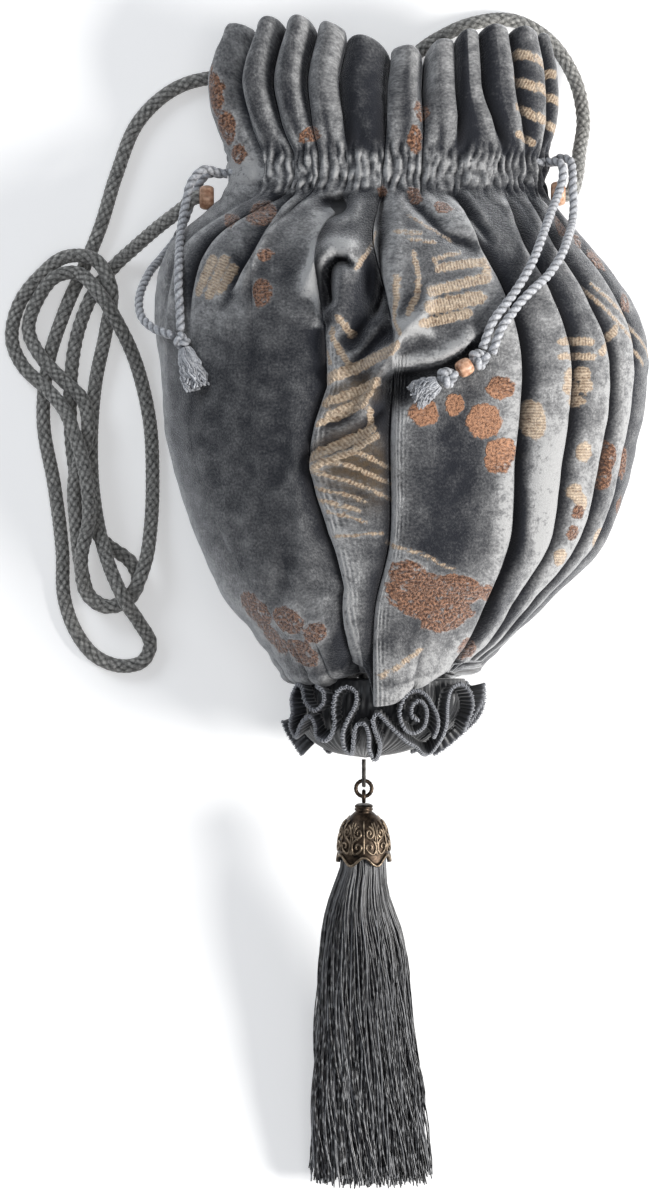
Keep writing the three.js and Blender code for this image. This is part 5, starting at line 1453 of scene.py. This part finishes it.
# %% The stuffed pad
PAD_GATHERS = 64
pad_columns = 4 * PAD_GATHERS
pad_angle = full_turn(pad_columns)
pad_rows = []
for h in np.linspace(0, 0.985, 34):
    wander = 0.5 * np.sin(3 * pad_angle + 5 * h) + 0.4 * np.sin(7 * pad_angle)
    pull = np.abs(np.sin(PAD_GATHERS / 2 * pad_angle + wander)) ** 0.6
    depth_in = 1.3 * ease(h / 0.1) * (1 - 0.7 * h)
    radius, depth = pad_at(np.full(pad_columns, h), -depth_in * (1 - pull))
    pad_rows.append(rosette_point(radius, depth, pad_angle))
pad_points = np.vstack([rosette_point(0.0, 0.0, 0.0), *pad_rows, rosette_point(0.0, ROSETTE_DEPTH, 0.0)])
pad_faces = [face[::-1] for face in capped_faces(len(pad_rows), pad_columns)]
pad = new_piece("rosette_pad_stuffed", pad_points * MM, pad_faces, pad_satin)
put_on(pad, "bag", "rosette_pad")

# %% Line of the ribbon
RIBBON_SEAT = 0.95
RIBBON_HEIGHT = 4.8
RIBBON_THICKNESS = 1.1
RIBBON_STEP = 0.27
PLEAT_LENGTH = 1.55
# Millimetres for a radian round the pad, and for the whole way down it.
PAD_ROUND, PAD_DOWN = 28, 42
RIBBON_LINE = [
    (-22.8, -90.4), (-20.1, -92.1), (-20.1, -95.9), (-23.5, -98.6), (-26.9, -95.5), (-27.9, -90.8),
    (-29.9, -89.3), (-31.6, -93.2), (-30.6, -99.3), (-31.6, -104.7), (-29.9, -107.8), (-28.2, -103.4),
    (-25.8, -101), (-24.1, -103.7), (-23.1, -107.4), (-19.4, -108.1), (-17, -103.7), (-17.3, -97.9),
    (-16.3, -92.8), (-13.3, -90.8), (-10.2, -92.5), (-10.2, -97.2), (-12.2, -102), (-13.9, -106.8),
    (-13.3, -111.5), (-11.2, -113.2), (-10.2, -108.1), (-9.2, -104), (-7.1, -103.4), (-5.1, -106.8),
    (-4.8, -112.2), (-3.2, -115.3), (-1.4, -110.5), (-3.2, -104.5), (-3.8, -101), (-2.2, -99.4),
    (-0.2, -101), (2, -103.6), (5.1, -106.6), (9.2, -110.4), (12.2, -113), (15.2, -113.2),
    (18.4, -109.5), (20.6, -104), (21.8, -98), (23, -91.8), (25.9, -89.5), (29.2, -92.5),
    (30, -97.9), (28, -103), (27.4, -105.8), (30.4, -102.4), (32.4, -98.5),
]
CURL_LINE = [
    (16.4, -107.5), (17.8, -103.4), (17.4, -97.9), (14.8, -93.5), (10.5, -91.8), (6.8, -94.2),
    (5.2, -99.3), (7.1, -104.4), (10.5, -106.2), (13.6, -104.6), (14.8, -101), (14, -97.2),
    (11.7, -95.2), (9.4, -97), (9.4, -100.4), (11.4, -101.6),
]
BACK_WAVES = 5


def on_pad(line):
    """Angle round the pad and share of the way down it, for places of the ribbon's edge seen from above."""
    shares = np.linspace(0, 1, 201)
    edge_depth = pad_at(shares, RIBBON_SEAT + RIBBON_HEIGHT)[1]
    x, y = np.asarray(line, float).T
    h = np.interp(ROSETTE_TOP_Y - y, edge_depth, shares)
    radius, depth = pad_at(h, RIBBON_SEAT + RIBBON_HEIGHT)
    lean = ROSETTE_SHEAR * (depth / ROSETTE_DEPTH) ** 2
    across = (x - ROSETTE_X - lean) / np.maximum(radius, 0.1)
    return np.column_stack([np.arccos(np.clip(across, -1, 1)), h])


front_line = on_pad(RIBBON_LINE)
t = np.linspace(0, 1, 4 * BACK_WAVES + 1)[1:]
back_line = np.column_stack([
    front_line[-1, 0] - t * (np.pi * 0.93 + front_line[-1, 0]),
    0.36 - 0.26 * np.sin(2 * np.pi * BACK_WAVES * t),
])


def ribbon_strip(name, line, seed):
    """A ribbon on edge along a line of angles and shares on the pad, pleated and crinkled at its edge."""
    around = np.column_stack([line[:, 0] * PAD_ROUND, line[:, 1] * PAD_DOWN, 0 * line[:, 0]])
    fine = smooth_route(around, RIBBON_STEP)
    angle, h = fine[:, 0] / PAD_ROUND, np.clip(fine[:, 1] / PAD_DOWN, 0.005, 0.985)
    run = np.arange(len(fine)) * RIBBON_STEP
    low = rosette_point(*pad_at(h, RIBBON_SEAT), angle)
    high = rosette_point(*pad_at(h, RIBBON_SEAT + RIBBON_HEIGHT), angle)
    up = (high - low) / RIBBON_HEIGHT
    ahead = np.gradient(low, axis=0)
    side = np.cross(ahead, up)
    side /= np.linalg.norm(side, axis=1)[:, None]
    wave = np.sin(2 * np.pi * run / PLEAT_LENGTH + 1.4 * np.sin(run / 3.1 + seed))
    slow = np.sin(run / 4.7 + seed) + 0.6 * np.sin(run / 2.3)
    strips, edge = [], []
    for f in np.linspace(0, 1, 7):
        wide = RIBBON_THICKNESS / 2 * (0.75 + 0.4 * f**3)
        lateral = 0.3 * wave * (1 - 0.35 * f) + 0.3 * slow * f
        lift = RIBBON_HEIGHT * f + (0.35 * slow - 0.2 * wave) * f * f
        middle = low + up * lift[:, None] + side * lateral[:, None]
        strips.append((middle - side * wide, middle + side * wide))
        # Painted sheen: lighter towards the top edge and on one side of each pleat.
        edge.append(f**4 * 0.55 + 0.12 * wave)
    loop = [s[0] for s in strips] + [s[1] for s in strips[::-1]]
    shade = edge + edge[::-1]
    count, ring = len(low), len(loop)
    points = np.stack(loop, 1).reshape(-1, 3)
    values = np.stack(shade, 1).ravel()
    faces = grid_faces(count, ring)
    faces.append(tuple(range(ring))[::-1])
    faces.append(tuple(range((count - 1) * ring, count * ring)))
    piece = new_piece(name, points * MM, faces, ribbon_satin, None, {"edge": values})
    top_edge = (strips[-1][0] + strips[-1][1]) / 2
    print(name + ":", round(run[-1]), "mm of ribbon")
    return piece, top_edge


ribbon, ribbon_edge = ribbon_strip("ruffle_ribbon_pleated", np.vstack([front_line, back_line]), 0.0)
curl, curl_edge = ribbon_strip("ribbon_curl_pleated", on_pad(CURL_LINE), 2.0)


# %% Overlocked edges
def stitch_tree(material):
    """A ring of thread at every stitch along the edges of a mesh line."""
    sizes = {"Stitch length": 0.001, "Ring radius": 0.0007, "Thread radius": 0.0002, "Slant": 0.5}
    tree, given, result, add = new_tree("overlock_stitches", sizes)
    line = add("GeometryNodeMeshToCurve", {0: given["Geometry"]})
    steps = {"Curve": line.outputs[0], "Length": given["Stitch length"]}
    even = add("GeometryNodeResampleCurve", steps, mode="LENGTH")
    spots = add("GeometryNodeCurveToPoints", {"Curve": even.outputs[0]}, mode="EVALUATED")
    circle = add("GeometryNodeCurvePrimitiveCircle", {"Resolution": 10, "Radius": given["Ring radius"]})
    thread = add("GeometryNodeCurvePrimitiveCircle", {"Resolution": 5, "Radius": given["Thread radius"]})
    ring = add("GeometryNodeCurveToMesh", {0: circle.outputs[0], 1: thread.outputs[0]})
    slant = add("ShaderNodeCombineXYZ", {"X": given["Slant"]})
    leaning = add("GeometryNodeTransform", {"Geometry": ring.outputs[0], "Rotation": slant.outputs[0]})
    stitches = {"Points": spots.outputs["Points"], "Rotation": spots.outputs["Rotation"]}
    placed = add("GeometryNodeInstanceOnPoints", {**stitches, "Instance": leaning.outputs[0]})
    finish_tree(tree, add, placed.outputs[0], result, material)
    return tree


stitch_thread = cord_material(
    "stitch_thread", groove=(0.3, 0.31, 0.335), dark=(0.2, 0.21, 0.235), light=(0.5, 0.52, 0.56),
    size=0.7 * MM, roughness=0.6,
)
edge_mesh = bpy.data.meshes.new("ribbon_edges")
edge_points = np.vstack([ribbon_edge, curl_edge]) * MM
edge_lines = [(i, i + 1) for i in range(len(edge_points) - 1) if i != len(ribbon_edge) - 1]
edge_mesh.from_pydata([tuple(p) for p in edge_points], edge_lines, [])
overlock = grow(
    "ribbon_overlock", stitch_tree(stitch_thread), edge_mesh, Stitch_length=0.9 * MM, Ring_radius=0.52 * MM,
    Thread_radius=0.17 * MM, Slant=0.5,
)
for piece, node in ((ribbon, "ruffle_ribbon"), (curl, "ribbon_curl"), (overlock, None)):
    put_on(piece, "bag", node)


# %% [markdown]
# ## Links and tassel
#
# A thread loop holds the jump ring, and the ring holds the wire loop on the tassel's cap, so the tassel can
# lift and swing. The cap is cast bronze: a dome with collar rings, a scalloped edge and scrolls in relief.
# One set of scrolls is drawn, and a tree turns it round the cap.


# %% Closed wire loops
def closed_tube(name, path, wire, sides, material, relief=None):
    """A tube along a closed path in millimetres; relief gives the share of the radius."""
    ahead, side, up = frames_along(path, closed=True)
    home = side[-1] - ahead[0] * (side[-1] @ ahead[0])
    miss = math.atan2(np.cross(home, side[0]) @ ahead[0], home @ side[0])
    share = np.arange(len(path))[:, None] / len(path)
    angle = full_turn(sides) + share * miss
    radius = wire / 2 * (1 if relief is None else relief(angle, share))
    points = tube_points(path, side, up, radius, angle)
    return new_piece(name, points.reshape(-1, 3) * MM, grid_faces(len(path), sides, ring=True), material)


def bronze_material(name, dark, light):
    """Bronze with tarnish."""
    finish = Finish(name)
    tarnish = finish.noise(Scale=420.0, Detail=6.0, Roughness=0.65)
    colour = finish.ramp(tarnish, (0.36, dark), (0.66, light))
    return finish.dress(colour, tarnish, 0.3, 0.0002, Metallic=0.9, Roughness=0.42)


antique_bronze = bronze_material("antique_bronze", (0.008, 0.006, 0.005), (0.1, 0.07, 0.048))
rubbed_bronze = bronze_material("rubbed_bronze", (0.05, 0.037, 0.027), (0.36, 0.28, 0.2))
RING_Y = -125.5
RING_RADIUS = 2.7
WIRE = 1.4
LINK_RADIUS = WIRE + 0.35
RING_POINTS = 72
RING_TWISTS = 9


def twisted_wire(angle, share):
    """Wire with two grooves that wind along it."""
    return 0.86 + 0.16 * np.abs(np.cos(angle - 2 * np.pi * RING_TWISTS * share))


turn = full_turn(RING_POINTS)
ring_path = np.column_stack([
    LINK_X + RING_RADIUS * np.cos(turn), RING_Y + RING_RADIUS * np.sin(turn), np.full(RING_POINTS, LINK_Z),
])
jump_ring = closed_tube("jump_ring_wire", ring_path, WIRE, 14, antique_bronze, twisted_wire)
loop_path = np.column_stack([
    np.full(RING_POINTS, LINK_X), RING_Y - RING_RADIUS + LINK_RADIUS * np.sin(turn),
    LINK_Z + LINK_RADIUS * np.cos(turn),
])
cap_loop = closed_tube("cap_loop_wire", loop_path, WIRE, 14, antique_bronze)
pad_tip = ROSETTE_TOP_Y - ROSETTE_DEPTH - 0.55
upper_wire = RING_Y + RING_RADIUS
half_turn = np.linspace(0, np.pi, 9)
anchor_path = smooth_route([
    (LINK_X, pad_tip, LINK_Z + LINK_RADIUS), (LINK_X, (pad_tip + upper_wire) / 2, LINK_Z + LINK_RADIUS),
    *[
        (LINK_X, upper_wire - LINK_RADIUS * math.sin(a), LINK_Z + LINK_RADIUS * math.cos(a))
        for a in half_turn
    ],
    (LINK_X, (pad_tip + upper_wire) / 2, LINK_Z - LINK_RADIUS), (LINK_X, pad_tip, LINK_Z - LINK_RADIUS),
], 0.25)
anchor = cord_tube("anchor_loop_thread", anchor_path, WIRE, 12, ply_relief, dark_thread)
for piece, node, body, slot in (
    (jump_ring, "jump_ring", "link", "bronze"), (cap_loop, "cap_loop", "tassel", "bronze"),
    (anchor, "anchor_loop", "bag", "threads"),
):
    put_on(piece, body, node)


# %% Cast cap
CAP_TOP = RING_Y - RING_RADIUS - LINK_RADIUS - WIRE / 2 - 0.35
TASSEL_TILT = math.radians(11.75)
CAP_LOBES = 6
CAP_SCALLOP = 1.6
CAP_SIDES = 96
CAP_PROFILE = [
    (0.01, 0), (2.6, 0), (3.1, 0.35), (3.1, 0.75), (2.6, 1.1), (3.15, 1.4), (3.15, 1.8), (2.6, 2.2),
    (3.1, 2.6), (3.8, 3.2), (5.4, 4.8), (6.4, 6.0), (7.2, 7.4), (7.8, 9.0), (8.3, 11), (8.6, 13),
    (8.8, 15), (8.85, 17), (8.9, 18.6),
]
CAP_INSIDE = [(8.1, 18.6), (8.0, 15), (7.5, 11), (6.4, 7.4), (4.6, 5.6), (0.01, 5.6)]


def onto_tassel(piece):
    """Moves a piece from the tassel's own line, down -Y from the top of the cap, into place."""
    c, s = math.cos(TASSEL_TILT), math.sin(TASSEL_TILT)
    place_mesh(piece, (LINK_X, CAP_TOP, LINK_Z), (1, 0, 0), (0, c, s), (0, -s, c))


def cap_point(radius, down, angle):
    """Point on the tassel's own line, in millimetres; the edge of the cap is scalloped."""
    edge = ease((down - 11) / 7.6) * CAP_SCALLOP * np.cos(CAP_LOBES * angle)
    return np.stack([radius * np.cos(angle), -(down + edge), radius * np.sin(angle)], -1)


cap_angle = full_turn(CAP_SIDES)
cap_rings = [cap_point(r, d, cap_angle) for r, d in CAP_PROFILE + CAP_INSIDE]
cap_faces = [face[::-1] for face in grid_faces(len(cap_rings), CAP_SIDES)]
cap = new_piece("tassel_cap_cast", np.array(cap_rings).reshape(-1, 3) * MM, cap_faces, antique_bronze)


def on_cap(angle, down, lift=0.25):
    """Point just above the cap's surface at an angle in degrees and a distance down."""
    rows = np.array(CAP_PROFILE)
    radius = np.interp(down, rows[:, 1], rows[:, 0]) + lift
    return cap_point(radius, np.asarray(down, float), np.radians(angle))


def even_wire(angle, run):
    """Wire that is as thick everywhere."""
    return 1 + 0 * (angle + run)


def scroll_set():
    """Scrolls of one lobe: two curls and a rib on either side of a stem, and the rim below them."""
    tubes = []
    for hand in (-1, 1):
        t = np.linspace(0, 1, 40)
        swirl = 2 * np.pi * (1.45 * t) - np.pi / 2
        for middle, wide in ((8.4, 1.7), (13.2, 2.3)):
            size = wide * (1 - t) + 0.3
            across = 90 + hand * (14 + size * np.cos(swirl) * 6.2)
            tubes.append((on_cap(across, middle + size * np.sin(swirl) * 1.1), 0.75))
        tubes.append((on_cap(90 + hand * np.linspace(26, 29, 14), np.linspace(5.2, 15.0, 14)), 0.5))
    tubes.append((on_cap(np.full(16, 90.0), np.linspace(4.6, 16.5, 16)), 0.6))
    tubes.append((on_cap(np.linspace(60, 120, 24), np.full(24, 18.1)), 0.9))
    joined = bmesh.new()
    for n, (path, wire) in enumerate(tubes):
        part = cord_tube("scroll_" + str(n), smooth_route(path, 0.25), wire, 7, even_wire, rubbed_bronze)
        joined.from_mesh(part.data)
        bpy.data.objects.remove(part)
    mesh = bpy.data.meshes.new("scroll_set")
    joined.to_mesh(mesh)
    joined.free()
    return mesh


def round_tree(material):
    """Copies of a mesh turned round the Y axis."""
    tree, given, result, add = new_tree("turned_round", {"Copies": 6})
    spots = add("GeometryNodePoints", {"Count": given["Copies"]})
    index = add("GeometryNodeInputIndex").outputs[0]
    share = add("ShaderNodeMath", {0: index, 1: given["Copies"]}, operation="DIVIDE").outputs[0]
    angle = add("ShaderNodeMath", {0: share, 1: 2 * math.pi}, operation="MULTIPLY").outputs[0]
    turned_by = add("ShaderNodeCombineXYZ", {"Y": angle})
    copies = {"Points": spots.outputs[0], "Instance": given["Geometry"], "Rotation": turned_by.outputs[0]}
    placed = add("GeometryNodeInstanceOnPoints", copies)
    finish_tree(tree, add, placed.outputs[0], result, material)
    return tree


scrolls = grow("tassel_cap_scrolls", round_tree(rubbed_bronze), scroll_set(), Copies=CAP_LOBES)
for piece, node in ((cap, "tassel_cap"), (scrolls, None)):
    onto_tassel(piece)
    put_on(piece, "tassel", node)


# %% Tassel threads
# Crimps along a thread, in radians a metre, which set the painted glints.
CRIMPS = 1100.0


def thread_material():
    """Silky thread: each has its own grey, from the value named strand, and painted glints where it is
    crimped.
    """
    finish = Finish("silky_thread")
    run, fit, mix = finish.run, finish.fit, finish.mix
    strand = finish.value("strand")
    place = finish.add("ShaderNodeSeparateXYZ")
    finish.feed(place.inputs[0], finish.add("ShaderNodeTexCoord").outputs["Object"])
    along = place.outputs["Y"]
    grey = finish.ramp(
        strand, (0.0, (0.004, 0.004, 0.005)), (1.0, (0.22, 0.224, 0.235)), (0.35, (0.012, 0.012, 0.014)),
        (0.75, (0.055, 0.056, 0.06)),
    )
    beat = run("MULTIPLY_ADD", along, CRIMPS, run("MULTIPLY", strand, 400.0))
    glint = run("MULTIPLY", fit(run("SINE", beat), 1.2, -0.5), fit(along, -9.0, -1.2))
    # Painted sheen: the threads are lighter near the cap.
    neck = fit(along, 24.0, 4.1)
    smooth = mix(run("MULTIPLY", neck, 0.55), grey, (0.15, 0.152, 0.158))
    return finish.dress(mix(glint, smooth, (0.34, 0.345, 0.355)), Roughness=0.36, Specular_IOR_Level=0.5)


SKIRT_FROM = 6.2
SKIRT_TO = 134.0
SKIRT_WIDTH = 20.8
# Distance down, half width, share of that width above and below, and shift to the side.
SKIRT_ROWS = [
    (6.2, 4.1, 1, 0), (8.2, 5.9, 1, 0), (13, 7.3, 1, 0), (21, 7.7, 1, 0), (33, 10.4, 0.88, -1.2),
    (50, 14.6, 0.68, -0.2), (74, 16.6, 0.56, 0.2), (102, 19, 0.46, 1.4), (134, 20.8, 0.41, 2.6),
]
shares = [(row[0] - SKIRT_FROM) / (SKIRT_TO - SKIRT_FROM) for row in SKIRT_ROWS]
skirt_tree = bundle_tree(
    "tassel_threads", points=24,
    wide=[(s, row[1] / SKIRT_WIDTH) for s, row in zip(shares, SKIRT_ROWS)],
    flat=[(s, row[2]) for s, row in zip(shares, SKIRT_ROWS)],
    shift=[(s, row[3] / SKIRT_WIDTH) for s, row in zip(shares, SKIRT_ROWS)],
    material=thread_material(), sides=3,
)
skirt = grow(
    "tassel_skirt_threads", skirt_tree, Threads=1200, Length=(SKIRT_TO - SKIRT_FROM) * MM,
    Width=(SKIRT_WIDTH - 0.6) * MM, Thread_radius=0.3 * MM, Waviness=1.5 * MM, Ends=0.05, Seed=5,
)
place_mesh(skirt, (0, -SKIRT_FROM, 0), (1, 0, 0), (0, 1, 0), (0, 0, 1))
onto_tassel(skirt)
put_on(skirt, "tassel", "tassel_skirt")

# %% [markdown]
# ## Inside the bag
#
# A satin lining hangs inside the velvet, and the drawstrings run round the casing between the two. Both
# are mostly hidden, so they are plain: ovals that follow the sections of the bag a little further in.


# %% Lining and the hidden run of the drawstrings
def oval_ring(place, inset, count):
    """A ring of points on the bag's section, moved in."""
    y, centre, width, half, middle = (float(v) for v in section_at(np.array(place)))
    a = full_turn(count)
    return np.column_stack([
        centre - (width - inset) * np.cos(a), np.full(count, y), middle + (half - inset) * np.sin(a),
    ])


LINING_COLUMNS = 96
LINING_FOLDS = 16
lining_rings = []
for shift, order in ((0.0, 1), (0.6, -1)):
    for place in np.linspace(0.9, 10.2, 28)[::order]:
        inset = 17 - 9.2 * float(ease((place - 6.2) / 1.9)) + shift
        ring_points = oval_ring(place, inset, LINING_COLUMNS)
        fold = 0.8 * np.sin(LINING_FOLDS * full_turn(LINING_COLUMNS) + place)
        ring_points[:, 2] += fold * ease((place - 2) / 4)
        lining_rings.append(ring_points)
lining_points = np.vstack([
    [lining_rings[0].mean(axis=0)], *lining_rings, [lining_rings[-1].mean(axis=0) + (0, 0.6, 0)],
])
lining_faces = capped_faces(len(lining_rings), LINING_COLUMNS)
lining = new_piece("lining_satin", lining_points * MM, lining_faces, pad_satin)
put_on(lining, "bag", "lining")

RUN_INSET = 5.4
RUN_POINTS = 200
for key, side, y in (("left", -1, LEFT_Y), ("right", 1, RIGHT_Y)):
    node = "drawstring_" + key + "_run"
    around = oval_ring(float(place_of(y)), RUN_INSET, RUN_POINTS)
    begin = 0.0 if side < 0 else 0.5
    picks = [int(RUN_POINTS * (begin + 0.075 + 0.85 * k / 18)) % RUN_POINTS for k in range(19)]
    gate = CASING_CENTRE + side * (CASING_HALF_WIDTH - 1)
    start, end = ((gate, y, CASING_MIDDLE + up * STRAND_SPREAD) for up in (-side, side))
    route = smooth_route([start, *around[picks], end], 0.6)
    hidden = cord_tube(node + "_twist", route, DRAWSTRING_DIAMETER, 10, ply_relief, rayon_cord)
    put_on(hidden, "bag", node)
